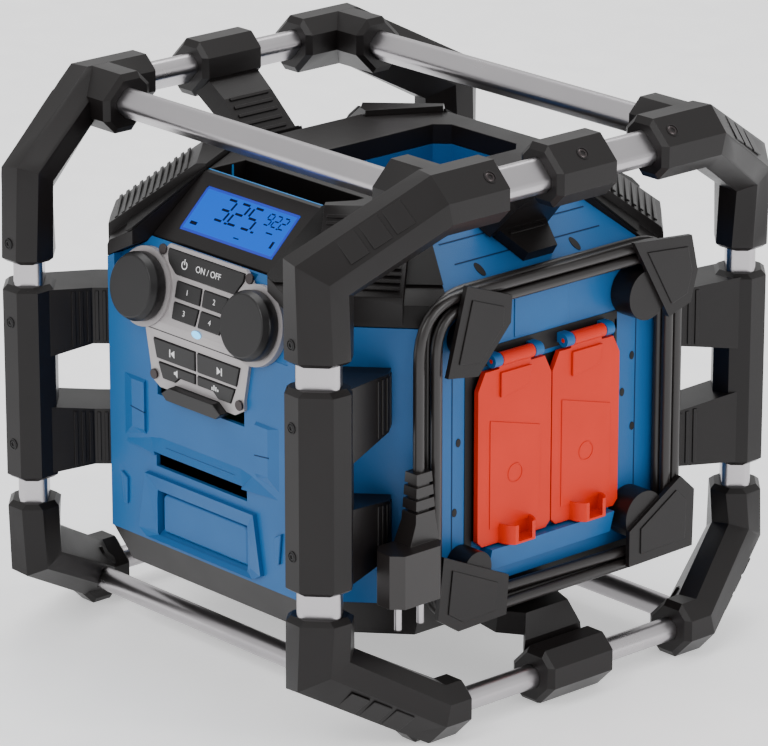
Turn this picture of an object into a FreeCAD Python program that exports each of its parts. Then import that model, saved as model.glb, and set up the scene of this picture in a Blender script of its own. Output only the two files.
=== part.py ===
import FreeCAD, Part

import math
import os
import re

import Sketcher

V = FreeCAD.Vector

# The radio stands on its four lower elbows. Origin: on the floor under the middle of the cage.
# +Z is up, -Y is the front with the controls, +X is the side with the mains outlets.

doc = FreeCAD.newDocument("JobsiteRadio")

# Driving sizes, in millimetres and degrees. Each has one row: name, value, what it is.
SIZES = [
    # cage of tubes
    ("post_x", 146.0, "upright tube axis, from the middle plane"),
    ("post_y", 187.0, "upright tube axis, from the middle plane"),
    ("rail_x", 174.0, "axis of the tubes that run front to back"),
    ("top_cross_y", 112.0, "axis of the top tubes that run side to side"),
    ("low_cross_y", 124.0, "axis of the bottom tubes that run side to side"),
    ("rail_rise", 340.0, "from bottom tube axis to top tube axis"),
    ("rail_wide", 23.0, "flattened top side tube, broad face"),
    ("rail_deep", 15.0, "flattened top side tube, thickness"),
    ("cross_wide", 18.0, "top tube that runs side to side, across its flats"),
    ("rail_round", 5.6, "corner radius of the top tubes"),
    ("post_wide", 28.5, "upright tube, broad face"),
    ("post_deep", 19.5, "upright tube, thickness"),
    ("post_round", 5.0, "corner radius of the upright tube"),
    ("round_tube", 16.0, "diameter of the bottom tubes"),
    ("tube_wall", 1.8, "wall of every tube"),
    ("fit_gap", 0.15, "clearance round a tube in its socket"),
    # moulded elbows, sleeves and clamps
    ("elbow_wide", 42.0, "moulding across the tube's broad face"),
    ("elbow_deep", 34.0, "moulding through the tube's thickness"),
    ("elbow_cut", 10.0, "flat cut along each corner of the moulding"),
    ("elbow_turn", 40.0, "the elbow's slanted leg rises or drops this much"),
    ("elbow_lean", 70.0, "the elbow's slanted leg runs back this much"),
    ("elbow_skirt", 55.0, "straight upright part of the elbow"),
    ("top_socket", 50.0, "length of the top elbow's socket for the side rail"),
    ("low_socket", 20.0, "length of the bottom elbow's socket for the side rail"),
    ("top_cross_socket", 43.0, "length of the top elbow's socket for the cross rail"),
    ("low_cross_socket", 18.0, "length of the bottom elbow's socket for the cross rail"),
    ("socket_hold", 26.0, "how far a top tube reaches into its socket"),
    ("low_hold", 13.0, "how far a bottom tube reaches into its socket"),
    ("foot_flat", 0.4, "the lower elbows are cut flat by this where they stand"),
    ("clamp_lift", 1.5, "the bottom clamps end this far over the floor"),
    ("end_taper", 3.0, "bevel at the mouth of each socket"),
    ("sleeve_low", 113.0, "lower end of the sleeve on the upright"),
    ("sleeve_high", 248.5, "upper end of the sleeve on the upright"),
    ("arm_wide", 41.0, "sleeve arm across the corner of the housing"),
    ("arm_tall", 39.0, "sleeve arm height at the housing"),
    ("arm_flare", 8.0, "extra height of the arm at the sleeve"),
    ("arm_gap", 46.0, "open window between the two arms at the housing"),
    ("clamp_long", 52.0, "length of the centre clamp along its tube"),
    ("clamp_arm_wide", 52.0, "arm of the top clamp where it meets the housing"),
    ("clamp_arm_thick", 15.0, "thickness of the clamp arms"),
    ("tongue_wide", 26.0, "tip of the top clamp's tongue"),
    ("low_arm_wide", 58.0, "arm of the bottom clamp where it meets the base"),
    # housing
    ("front_half", 94.0, "half width of the housing's front, at the corner cut"),
    ("front_y", 162.0, "front and rear faces, from the middle plane"),
    ("side_x", 154.0, "side faces, from the middle plane"),
    ("side_half", 107.0, "half length of a side face"),
    ("wall", 3.2, "wall of the moulded housings"),
    ("shell_low", 84.0, "lower edge of the blue housing"),
    ("pod_low", 270.0, "lower edge of the corner pods"),
    ("pod_side_half", 88.0, "half length of the blue side panel under its slope"),
    ("slope_low", 288.0, "foot of the slanted side panels"),
    ("slope_high", 314.0, "top of the slanted side panels"),
    ("deck_side", 114.0, "half width of the top cover at the slanted panels"),
    ("deck_x", 92.0, "half width of the flat deck"),
    ("deck_y", 95.0, "half depth of the flat deck"),
    ("deck_high", 328.0, "height of the flat deck"),
    ("console_foot_y", 147.0, "foot of the slanted console, from the middle plane"),
    ("console_foot_z", 291.0, "foot of the slanted console, height"),
    ("console_top_y", 108.0, "top of the slanted console, from the middle plane"),
    ("console_half", 64.0, "half width of the slanted console"),
    ("tray_depth", 26.0, "phone tray behind the console"),
    ("tray_back_y", 72.0, "rear wall of the phone tray, from the middle plane"),
    ("well_half", 41.0, "half width of the deep well in the deck"),
    ("well_front_y", 58.0, "front of the deep well, from the middle plane"),
    ("well_rear_y", 88.0, "rear of the deep well, from the middle plane"),
    ("well_floor", 268.0, "floor of the deep well, height"),
    ("pod_reach", 134.0, "corner pod's outer face at its foot, along one axis"),
    ("pod_lean", 5.0, "the pod's outer face leans in by this much"),
    ("pod_knee", 290.0, "height where the pod starts to slope in"),
    ("pod_top", 332.0, "top of the corner pods"),
    ("pod_band", 56.0, "width of the ribbed band on a pod"),
    ("band_step", 5.0, "height of the ribbed band over the pod"),
    ("base_low", 58.0, "underside of the base"),
    ("base_inset", 13.0, "the base's underside is smaller than its rim by this"),
    ("seam_gap", 0.3, "gap between two mouldings that face each other"),
    # front
    ("lean_start", 241.0, "height where the control plate starts to lean back"),
    ("lean_back", 10.0, "how far the plate's top leans back"),
    ("lean_rise", 49.0, "height over which it leans back so far"),
    ("plate_top", 290.0, "top of the control plate"),
    ("plate_low", 199.0, "bottom of the control plate"),
    ("plate_thick", 2.5, "control plate"),
    ("key_gap", 0.4, "clearance round each key"),
    ("key_proud", 1.2, "keys stand this far out of the plate"),
    ("key_deep", 5.0, "height of a key"),
    ("key_room_deep", 13.0, "room for the keys behind the front face"),
    ("knob_x", 56.0, "knob axis, from the middle plane"),
    ("knob_z", 260.5, "knob axis, height"),
    ("knob_width", 46.0, "knob diameter"),
    ("knob_high", 11.5, "knob height over its ring"),
    ("ring_width", 53.0, "silver ring round a knob"),
    ("ring_high", 2.0, "silver ring, height over the plate"),
    ("knob_air", 0.5, "gap between a knob and its ring"),
    ("shaft_width", 6.0, "encoder shaft"),
    ("shaft_gap", 0.25, "clearance round the shaft"),
    ("lcd_wide", 92.0, "display window"),
    ("lcd_tall", 34.0, "display window"),
    ("lcd_up", 27.0, "display window's middle, up the console slope from its foot"),
    ("port_half", 46.0, "half width of the air slot in the front"),
    ("port_high", 147.5, "upper edge of the air slot"),
    ("port_tall", 9.0, "height of the air slot"),
    ("frame_half", 46.0, "half width of the recessed front panel"),
    ("frame_high", 126.0, "upper edge of the recessed front panel"),
    ("frame_deep", 11.0, "depth of the recess in the front"),
    ("front_thick", 16.0, "thickness of the upper front that the plate sits on"),
    # outlets on the right
    ("outlet_front_y", -64.5, "front edge of the outlet recess"),
    ("outlet_rear_y", 61.5, "rear edge of the outlet recess"),
    ("outlet_low", 116.0, "lower edge of the outlet recess"),
    ("outlet_high", 230.0, "upper edge of the outlet recess"),
    ("cover_split_y", 0.5, "line between the two outlet covers"),
    ("cover_gap", 0.5, "gap round and between the covers"),
    ("cover_thick", 4.0, "outlet cover"),
    ("cover_low", 113.0, "lower edge of the covers"),
    ("hinge_z", 238.0, "axis of the cover hinges"),
    ("hinge_x", 160.0, "axis of the cover hinges"),
    ("hinge_width", 9.0, "diameter of a hinge knuckle"),
    ("pin_width", 3.0, "hinge pin"),
    ("pin_gap", 0.06, "running clearance round a hinge pin"),
    ("knuckle_long", 28.0, "middle knuckle of a cover"),
    ("lip_width", 28.0, "finger cup at the bottom of a cover"),
    ("lip_high", 13.0, "height of the finger cup"),
    ("lip_out", 11.0, "the finger cup stands out by this"),
    ("wall_knuckle", 7.0, "length of a hinge knuckle on the wall"),
    ("ledge_front_y", -56.0, "front end of the ledge under the covers"),
    ("ledge_rear_y", 54.0, "rear end of the ledge under the covers"),
    ("ledge_low", 96.0, "lower edge of the ledge"),
    ("ledge_high", 111.5, "upper edge of the ledge"),
    ("ledge_out", 11.0, "the ledge stands out by this"),
    ("socket_width", 39.0, "round well of a mains outlet"),
    ("socket_deep", 17.5, "depth of a mains outlet"),
    ("contact_width", 5.5, "holes for the plug's pins"),
    ("contact_pitch", 19.0, "distance between the pins of a plug"),
    # cord and its hooks
    ("cord_width", 7.5, "mains cord diameter"),
    ("cord_pitch", 8.0, "from one turn of the cord to the next"),
    ("wrap_y", 107.0, "outer turn of the cord, from the middle plane"),
    ("wrap_low", 73.0, "outer turn of the cord, lower run"),
    ("wrap_high", 290.5, "outer turn of the cord, upper run"),
    ("wrap_turn", 32.0, "corner radius of the outer turn"),
    ("wrap_x", 158.3, "cord layer next to the housing"),
    ("hook_x", 174.5, "outer face of the cord hooks"),
    ("hook_thick", 3.5, "cord hook plate"),
    ("tail_y", 121.5, "straight drop of the cord to the plug, from the middle plane"),
    ("tail_turn", 37.8, "radius of the turn into that drop"),
    ("plug_top", 182.0, "where the cord goes into the plug's strain relief"),
    ("plug_body_high", 136.0, "top of the plug's body"),
    ("plug_body_low", 100.0, "underside of the plug's body"),
    ("plug_wide", 44.0, "width of the plug's body"),
    ("plug_deep", 26.0, "thickness of the plug's body"),
    ("pin_long", 19.0, "round pins of the plug"),
    ("plug_pin", 4.8, "diameter of the plug's pins"),
    # rear and left
    ("bay_half", 44.0, "half width of the battery dock in the rear"),
    ("bay_low", 112.0, "lower edge of the battery dock"),
    ("bay_high", 232.0, "upper edge of the battery dock"),
    ("bay_deep", 52.0, "depth of the battery dock"),
    ("pack_gap", 0.6, "clearance round the battery pack"),
    ("pack_proud", 6.0, "the battery pack stands out of its dock by this"),
    ("door_half", 52.0, "half width of the media bay door on the left"),
    ("door_low", 130.0, "lower edge of the media bay"),
    ("door_high", 232.0, "upper edge of the media bay"),
    ("door_deep", 40.0, "depth of the media bay"),
    # inside
    ("speaker_width", 62.0, "corner loudspeaker"),
    ("driver_inset", 36.0, "corner loudspeaker, in from the corner face"),
    ("driver_drop", 26.0, "corner loudspeaker, down from the pod"),
    ("driver_deep", 22.0, "depth of a corner loudspeaker"),
    ("woofer_width", 130.0, "bass loudspeaker"),
    ("woofer_deep", 34.0, "depth of the bass loudspeaker"),
    ("board_half", 75.0, "half width of the main board"),
    ("board_low", 140.0, "lower edge of the main board"),
    ("board_high", 250.0, "upper edge of the main board"),
    ("board_back", 8.0, "gap between the main board and the front wall"),
    ("post_inset", 15.0, "board's spacers, in from its sides"),
    ("supply_low_x", 70.0, "power supply, inner side"),
    ("supply_high_x", 124.0, "power supply, outer side"),
    ("supply_half", 50.0, "half length of the power supply"),
    ("supply_low", 122.0, "power supply, underside"),
    ("supply_high", 196.0, "power supply, top"),
    ("supply_foot", 4.0, "thickness of the power supply's foot"),
    ("board_thick", 1.6, "circuit board"),
]

sheet = doc.addObject("Spreadsheet::Sheet", "Sizes")
for row, (name, value, note) in enumerate(SIZES, start=1):
    sheet.set("A%d" % row, str(value))
    sheet.set("B%d" % row, note)
    sheet.setAlias("A%d" % row, name)
doc.recompute()


class Size:
    """Reads a driving size from the sheet by its name."""

    def __getattr__(self, name):
        return float(getattr(sheet, name))


S = Size()
BIG = 900.0
OVER = 9.0
HALF_ROOT = math.sqrt(0.5)

# Heights and directions that several pieces share
rail_low = (S.elbow_wide / 2 + S.elbow_deep / 2 - S.elbow_cut) * HALF_ROOT - S.foot_flat
rail_high = rail_low + S.rail_rise
CORNERS = {"front_right": (1, -1), "rear_right": (1, 1), "front_left": (-1, -1), "rear_left": (-1, 1)}
SIDES = {"right": 1, "left": -1}
face_run = V(S.side_x - S.front_half, S.front_y - S.side_half, 0)
along_corner = V(face_run.x, face_run.y, 0).normalize()
out_corner = V(along_corner.y, -along_corner.x, 0)


# Small helpers for planar solids
def block(x0, x1, y0, y1, z0, z1):
    return Part.makeBox(x1 - x0, y1 - y0, z1 - z0, V(x0, y0, z0))


def wire(points):
    return Part.makePolygon(list(points) + [points[0]])


def prism(points, travel):
    return Part.Face(wire(points)).extrude(travel)


def loft(sections):
    return Part.makeLoft([wire(section) for section in sections], True, True)


def clip(shape, point, normal):
    """Cuts away all that lies beyond a plane, on the side its normal points to."""
    normal = V(normal).normalize()
    side = normal.cross(V(0, 0, 1)) if abs(normal.z) < 0.9 else V(1, 0, 0)
    side.normalize()
    other = normal.cross(side)
    corners = [point + side * (i * BIG) + other * (j * BIG) for i, j in ((-1, -1), (1, -1), (1, 1), (-1, 1))]
    return shape.cut(prism(corners, normal * BIG))


def flip(shape, sx, sy):
    """Mirrors a front right piece to another corner."""
    if sx < 0:
        shape = shape.mirror(V(0, 0, 0), V(1, 0, 0))
    if sy > 0:
        shape = shape.mirror(V(0, 0, 0), V(0, 1, 0))
    return shape


def octagon(centre, across, out, wide, deep, cut):
    """A rectangle with its four corners cut, as eight points."""
    u, v = wide / 2, deep / 2
    pairs = [(-u, v - cut), (-u + cut, v), (u - cut, v), (u, v - cut)]
    pairs += [(u, cut - v), (u - cut, -v), (cut - u, -v), (-u, cut - v)]
    return [centre + across * p + out * q for p, q in pairs]


def oval_prism(centre, direction, out, wide, deep, round_, length):
    """A bar with a rounded rectangular section, centred at one end of its axis."""
    across = direction.cross(out).normalize()
    bar = prism([centre + across * p + out * q for p, q in
                 ((-wide / 2, -deep / 2), (wide / 2, -deep / 2), (wide / 2, deep / 2), (-wide / 2, deep / 2))],
                direction * length)
    edges = [e for e in bar.Edges if abs(e.tangentAt(e.FirstParameter).dot(direction)) > 0.99]
    return bar.makeFillet(min(round_, deep / 2 - 0.1), edges)


def slide_to_plane(point, direction, at, normal):
    return point + direction * ((at - point).dot(normal) / direction.dot(normal))


def mitred_bar(path, outs, wide, deep, cut, taper):
    """An eight-sided bar along a bent path. Its bends are mitred and both its ends bevelled."""
    legs = [(b - a).normalize() for a, b in zip(path, path[1:])]
    frames = [(leg.cross(out).normalize(), out) for leg, out in zip(legs, outs)]

    def ring(place, leg, shrink=0.0):
        across, out = frames[leg]
        return octagon(place, across, out, wide - shrink, deep - shrink, cut)

    first, last = path[0], path[-1]
    sections = [ring(first, 0, 2 * taper), ring(first + legs[0] * taper, 0)]
    for i, corner in enumerate(path[1:-1]):
        normal = (legs[i] + legs[i + 1]).normalize()
        before = [slide_to_plane(p, legs[i], corner, normal) for p in ring(corner, i)]
        after = [slide_to_plane(p, legs[i + 1], corner, normal) for p in ring(corner, i + 1)]
        sections.append([(a + b) * 0.5 for a, b in zip(before, after)])
    sections += [ring(last - legs[-1] * taper, -1), ring(last, -1, 2 * taper)]
    return loft(sections)


def feature(label, shape):
    piece = doc.addObject("Part::Feature", label)
    piece.Shape = shape
    piece.Label = label
    return piece


# Sketch helpers for the pieces that are padded or turned
def of(text):
    """Names the sheet in a formula: of("wall * 2") gives "Sizes.wall * 2"."""
    return re.sub(r"[a-z][a-z_]+", lambda match: "Sizes." + match.group(0), text)


def origin_plane(body, role):
    return next(f for f in body.Origin.OriginFeatures if f.Role == role)


def new_body(label):
    body = doc.addObject("PartDesign::Body", label)
    body.Label = label
    return body


def sketch_on(body, role, name):
    sketch = body.newObject("Sketcher::SketchObject", name)
    sketch.AttachmentSupport = [(origin_plane(body, role), "")]
    sketch.MapMode = "FlatFace"
    return sketch


def draw_outline(sketch, corners):
    """Draws a closed outline. Each corner is a pair of formulas over the sheet, as text."""
    count = len(corners)
    corners = [(of(across), of(up)) for across, up in corners]
    points = [V(*[float(sheet.evalExpression(text)) for text in corner], 0) for corner in corners]
    first = sketch.GeometryCount
    for i in range(count):
        sketch.addGeometry(Part.LineSegment(points[i], points[(i + 1) % count]), False)
    for i in range(count):
        here, nearby = first + i, first + (i + 1) % count
        sketch.addConstraint(Sketcher.Constraint("Coincident", here, 2, nearby, 1))
    for i, (across, up) in enumerate(corners):
        for kind, text, value in (("DistanceX", across, points[i].x), ("DistanceY", up, points[i].y)):
            index = sketch.addConstraint(Sketcher.Constraint(kind, -1, 1, first + i, 1, value))
            sketch.setExpression("Constraints[%d]" % index, text)


def draw_circle(sketch, radius):
    radius = of(radius)
    value = float(sheet.evalExpression(radius))
    index = sketch.addGeometry(Part.Circle(V(0, 0, 0), V(0, 0, 1), value), False)
    sketch.addConstraint(Sketcher.Constraint("Coincident", index, 3, -1, 1))
    size = sketch.addConstraint(Sketcher.Constraint("Radius", index, value))
    sketch.setExpression("Constraints[%d]" % size, radius)


def pad(body, sketch, length, name="Pad"):
    padded = body.newObject("PartDesign::Pad", name)
    padded.Profile = sketch
    padded.setExpression("Length", of(length))
    body.Tip = padded
    return padded


# Aluminium tubes of the cage. The top side ones are flattened and lie with a broad face outwards and up.
def flat_tube(label, half_length, centre, direction, out, wide, deep):
    body = new_body(label)
    sketch = sketch_on(body, "XY_Plane", label + "_section")
    for inset in ("0", "tube_wall"):
        u, v = "(%s / 2 - %s)" % (wide, inset), "(%s / 2 - %s)" % (deep, inset)
        draw_outline(sketch, [("-" + u, "-" + v), (u, "-" + v), (u, v), ("-" + u, v)])
    bar = pad(body, sketch, "2 * " + half_length)
    doc.recompute()
    corners = [i for i, edge in enumerate(bar.Shape.Edges, start=1)
               if abs(edge.tangentAt(edge.FirstParameter).z) > 0.99]
    rounded = body.newObject("PartDesign::Fillet", "Round")
    rounded.Base = (bar, ["Edge%d" % i for i in corners])
    rounded.setExpression("Radius", of("rail_round"))
    body.Tip = rounded
    half = float(sheet.evalExpression(of(half_length)))
    turn = FreeCAD.Rotation(direction.cross(out) * -1, out, direction, "ZXY")
    body.Placement = FreeCAD.Placement(centre - direction * half, turn)


def round_tube(label, half_length, centre, direction):
    body = new_body(label)
    sketch = sketch_on(body, "XY_Plane", label + "_section")
    draw_circle(sketch, "round_tube / 2")
    draw_circle(sketch, "round_tube / 2 - tube_wall")
    pad(body, sketch, "2 * " + half_length)
    half = float(sheet.evalExpression(of(half_length)))
    body.Placement = FreeCAD.Placement(centre - direction * half, FreeCAD.Rotation(V(0, 0, 1), direction))


top_end_y = S.post_y - S.elbow_lean
side_mouth_y = top_end_y - S.top_socket
low_mouth_y = top_end_y - S.low_socket
cross_mouth_x = S.rail_x - S.top_cross_socket
low_cross_mouth_x = S.rail_x - S.low_cross_socket
for side, sx in SIDES.items():
    lean_out = V(sx * HALF_ROOT, 0, HALF_ROOT)
    flat_tube("top_tube_" + side, "(post_y - elbow_lean - top_socket + socket_hold)",
              V(sx * S.rail_x, 0, rail_high), V(0, 1, 0), lean_out, "rail_wide", "rail_deep")
    round_tube("bottom_tube_" + side, "(post_y - elbow_lean - low_socket + low_hold)",
               V(sx * S.rail_x, 0, rail_low), V(0, 1, 0))
for end, sy in (("front", -1), ("rear", 1)):
    lean_out = V(0, sy * HALF_ROOT, HALF_ROOT)
    flat_tube("top_tube_" + end, "(rail_x - top_cross_socket + socket_hold)",
              V(0, sy * S.top_cross_y, rail_high), V(1, 0, 0), lean_out, "cross_wide", "cross_wide")
    round_tube("bottom_tube_" + end, "(rail_x - low_cross_socket + low_hold)",
               V(0, sy * S.low_cross_y, rail_low), V(1, 0, 0))

post_end_low = rail_low + S.elbow_turn + 2.0
post_end_high = rail_high - S.elbow_turn - 2.0


def post_bar(extra=0.0):
    """The upright at the front right, or with extra the hole that it sits in."""
    foot = V(S.post_x, -S.post_y, post_end_low - extra)
    length = post_end_high - post_end_low + 2 * extra
    return oval_prism(foot, V(0, 0, 1), out_corner, S.post_wide + 2 * extra, S.post_deep + 2 * extra,
                      S.post_round + extra, length)


def post_tube():
    foot = V(S.post_x, -S.post_y, post_end_low)
    bore = oval_prism(foot, V(0, 0, 1), out_corner, S.post_wide - 2 * S.tube_wall,
                      S.post_deep - 2 * S.tube_wall, S.post_round - S.tube_wall,
                      post_end_high - post_end_low)
    return post_bar().cut(bore)


feature("upright_tubes", Part.makeCompound([flip(post_tube(), sx, sy) for sx, sy in CORNERS.values()]))


# Black moulded elbows: an upright skirt, a slanted leg and a socket for the side rail, with a
# short socket beside it for the cross rail
def rail_hole(centre, direction, out, reach, wide, deep):
    """The room for a top tube of the given section, with its clearance."""
    return oval_prism(centre, direction, out, wide + 2 * S.fit_gap, deep + 2 * S.fit_gap,
                      S.rail_round + S.fit_gap, reach)


def upper_elbow():
    bend_z = rail_high - S.elbow_turn
    bend = V(S.post_x, -S.post_y, bend_z)
    corner = V(S.rail_x, -top_end_y, rail_high)
    path = [bend - V(0, 0, S.elbow_skirt), bend, corner, V(S.rail_x, -side_mouth_y, rail_high)]
    lean = V(HALF_ROOT, 0, HALF_ROOT)
    leg = (corner - bend).normalize()
    middle = (out_corner + V(0, 0, 0.6) + lean * 0.4)
    middle = (middle - leg * middle.dot(leg)).normalize()
    bar = mitred_bar(path, [out_corner, middle, lean], S.elbow_wide, S.elbow_deep, S.elbow_cut, S.end_taper)
    start = V(S.rail_x, -S.top_cross_y, rail_high)
    stub = mitred_bar([start, V(cross_mouth_x, -S.top_cross_y, rail_high)],
                      [V(0, -HALF_ROOT, HALF_ROOT)], S.elbow_wide, S.elbow_deep, S.elbow_cut, S.end_taper)
    shape = bar.fuse(stub)
    shape = shape.cut(rail_hole(V(S.rail_x, -side_mouth_y - S.socket_hold - 1, rail_high), V(0, 1, 0), lean, 60,
                                S.rail_wide, S.rail_deep))
    shape = shape.cut(rail_hole(V(cross_mouth_x + S.socket_hold + 1, -S.top_cross_y, rail_high),
                                V(-1, 0, 0), V(0, -HALF_ROOT, HALF_ROOT), 60, S.cross_wide, S.cross_wide))
    return shape.cut(post_bar(S.fit_gap))


def lower_elbow():
    bend_z = rail_low + S.elbow_turn
    bend = V(S.post_x, -S.post_y, bend_z)
    corner = V(S.rail_x, -top_end_y, rail_low)
    path = [bend + V(0, 0, S.elbow_skirt - 18), bend, corner, V(S.rail_x, -low_mouth_y, rail_low)]
    lean = V(HALF_ROOT, 0, -HALF_ROOT)
    leg = (corner - bend).normalize()
    middle = (out_corner + V(0, 0, -0.6) + lean * 0.4)
    middle = (middle - leg * middle.dot(leg)).normalize()
    bar = mitred_bar(path, [out_corner, middle, lean], S.elbow_wide, S.elbow_deep, S.elbow_cut, S.end_taper)
    start = V(S.rail_x, -S.low_cross_y, rail_low)
    stub = mitred_bar([start, V(low_cross_mouth_x, -S.low_cross_y, rail_low)],
                      [V(0, -HALF_ROOT, -HALF_ROOT)], S.elbow_wide, S.elbow_deep, S.elbow_cut, S.end_taper)
    bore = S.round_tube / 2 + S.fit_gap
    shape = bar.fuse(stub)
    shape = shape.cut(Part.makeCylinder(bore, 60, V(S.rail_x, -low_mouth_y - S.low_hold - 1, rail_low), V(0, 1, 0)))
    shape = shape.cut(Part.makeCylinder(bore, 60, V(low_cross_mouth_x + S.low_hold + 1, -S.low_cross_y, rail_low),
                                        V(-1, 0, 0)))
    return clip(shape.cut(post_bar(S.fit_gap)), V(0, 0, 0), V(0, 0, -1))


# Sleeve on an upright, with two ribbed arms to the corner of the housing
corner_middle = V((S.side_x + S.front_half) / 2, -(S.front_y + S.side_half) / 2, 0)
arm_middle_z = (S.sleeve_low + S.sleeve_high) / 2 + 1.0


def sleeve():
    foot = V(S.post_x, -S.post_y, S.sleeve_low)
    top = V(S.post_x, -S.post_y, S.sleeve_high)
    shape = mitred_bar([foot, top], [out_corner], S.elbow_wide, S.elbow_deep, S.elbow_cut, S.end_taper)
    for up in (1, -1):
        near = S.arm_gap / 2
        far = near + S.arm_tall
        lows = (near - S.arm_flare, near, near)
        highs = (far + S.arm_flare * 0.4, far, far)
        places = (V(S.post_x, -S.post_y, 0), corner_middle + out_corner * 12, corner_middle + out_corner * S.seam_gap)
        sections = []
        for place, low, high in zip(places, lows, highs):
            half = S.arm_wide / 2
            low, high = sorted((arm_middle_z + up * low, arm_middle_z + up * high))
            sections.append([V(place.x, place.y, 0) + along_corner * (i * half) + V(0, 0, z)
                             for i, z in ((-1, low), (1, low), (1, high), (-1, high))])
        shape = shape.fuse(loft(sections))
    return shape.cut(post_bar(S.fit_gap))


for name, (sx, sy) in CORNERS.items():
    feature("upper_elbow_" + name, flip(upper_elbow(), sx, sy))
    feature("lower_elbow_" + name, flip(lower_elbow(), sx, sy))
    feature("sleeve_" + name, flip(sleeve(), sx, sy))


# Centre clamps on the side rails, with an arm to the housing
def slope_height(x):
    """Height of the slanted side panel at a distance from the middle plane."""
    return S.slope_high - (x - S.deck_side) * (S.slope_high - S.slope_low) / (S.side_x - S.deck_side)


def ribbon(rows, thick, normal):
    """A bent plate. Each row gives its middle, as x and z, and its half width in y."""
    sections = []
    for x, z, half in rows:
        low, high = V(x, 0, z), V(x, 0, z) + normal * thick
        sections.append([V(low.x, -half, low.z), V(low.x, half, low.z),
                         V(high.x, half - 2, high.z), V(high.x, 2 - half, high.z)])
    return loft(sections)


def top_clamp():
    half = S.clamp_long / 2
    lean = V(HALF_ROOT, 0, HALF_ROOT)
    shape = mitred_bar([V(S.rail_x, -half, rail_high), V(S.rail_x, half, rail_high)], [lean],
                       S.elbow_wide, S.elbow_deep, S.elbow_cut, S.end_taper)
    drop = V(S.deck_side - S.rail_x, 0, S.slope_high - rail_high).normalize()
    normal = V(-drop.z, 0, drop.x)
    normal = normal * (1 if normal.z > 0 else -1)
    rows = [(S.rail_x - 6, rail_high - 16, half - 2), (150, 331, half - 3),
            (S.deck_side + 14, slope_height(S.deck_side + 14) + 3, S.clamp_arm_wide / 2),
            (S.deck_side - 2, S.slope_high + S.seam_gap, S.clamp_arm_wide / 2)]
    arm = ribbon(rows, S.clamp_arm_thick, normal)
    gap = S.seam_gap
    panel = V(S.slope_high - S.slope_low, 0, S.side_x - S.deck_side).normalize()
    tip_x = S.deck_side + 32
    wide, tip = S.clamp_arm_wide / 2, S.tongue_wide / 2
    low = [V(x, y, slope_height(x)) + panel * gap
           for x, y in ((S.deck_side, -wide), (tip_x, -tip), (tip_x, tip), (S.deck_side, wide))]
    tongue = prism(low, panel * 8)
    arm = clip(arm, V(S.deck_side - 1, 0, 0), V(-1, 0, 0))
    shape = shape.fuse(arm).fuse(tongue)
    shape = clip(shape, V(S.deck_side, 0, S.slope_high) + panel * gap, panel * -1)
    return shape.cut(rail_hole(V(S.rail_x, -BIG / 2, rail_high), V(0, 1, 0), lean, BIG, S.rail_wide, S.rail_deep))


def low_clamp():
    half = S.clamp_long / 2 + 3
    lean = V(HALF_ROOT, 0, -HALF_ROOT)
    shape = mitred_bar([V(S.rail_x, -half, rail_low), V(S.rail_x, half, rail_low)], [lean],
                       S.elbow_wide, S.elbow_deep, S.elbow_cut, S.end_taper)
    wide = S.low_arm_wide / 2
    low = S.base_low - S.clamp_arm_thick
    rows = [(S.rail_x - 10, rail_low + 6, half - 2), (158, rail_low + 22, wide - 8),
            (140, low - 3, wide), (118, low - S.seam_gap, wide)]
    arm = ribbon(rows, S.clamp_arm_thick, V(0, 0, 1))
    shape = shape.fuse(arm).cut(Part.makeCylinder(S.round_tube / 2 + S.fit_gap, BIG,
                                                  V(S.rail_x, -BIG / 2, rail_low), V(0, 1, 0)))
    return clip(shape, V(0, 0, S.clamp_lift), V(0, 0, -1))


for side, sx in SIDES.items():
    feature("top_clamp_" + side, flip(top_clamp(), sx, -1))
    feature("bottom_clamp_" + side, flip(low_clamp(), sx, -1))


# Housing: a blue eight-sided shell with slanted side panels, open below for the base
def plan(z, inset=0.0):
    a, b = S.front_half - 0.4 * inset, S.front_y - inset
    c, d = S.side_x - inset, S.side_half - 0.4 * inset
    return [V(*p, z) for p in ((a, -b), (c, -d), (c, d), (a, b), (-a, b), (-c, d), (-c, -d), (-a, -b))]


def clip_all_sides(shape, point, normal):
    for sx in (1, -1):
        shape = clip(shape, V(sx * point.x, 0, point.z), V(sx * normal.x, 0, normal.z))
    return shape


console_rise = S.deck_high - S.console_foot_z
console_run = S.console_foot_y - S.console_top_y


def clip_front_and_rear(shape, drop):
    for sy in (-1, 1):
        point = V(0, sy * S.console_foot_y, S.console_foot_z - drop)
        shape = clip(shape, point, V(0, sy * console_rise, console_run))
    return shape


def housing_form(inset=0.0):
    low = S.shell_low - (BIG / 10 if inset else 0)
    shape = prism(plan(low, inset), V(0, 0, S.slope_high - low + 10))
    shape = clip_all_sides(shape, V(S.deck_side, 0, S.slope_high - 1.4 * inset),
                           V(S.slope_high - S.slope_low, 0, S.side_x - S.deck_side))
    return clip_front_and_rear(shape, 1.4 * inset)


def pod_room(gap=0.0):
    """The corner that a pod fills, at the front right."""
    inner = S.deck_x - 6
    points = [V(S.front_half - 25 - gap, -S.front_y - OVER), V(S.side_x + OVER, -S.front_y - OVER),
              V(S.side_x + OVER, -S.pod_side_half + gap), V(S.side_x, -S.pod_side_half + gap),
              V(S.deck_side, 21 - S.pod_side_half + gap), V(inner - gap, 30 - S.pod_side_half + gap),
              V(S.front_half - 36 - gap, -S.deck_y - 12 + gap)]
    room = prism([V(p.x, p.y, S.pod_low - gap) for p in points], V(0, 0, 120))
    return clip(room, V(S.front_half, 0, S.pod_low + 2.5 - gap), V(-1, 0, -2))


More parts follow.
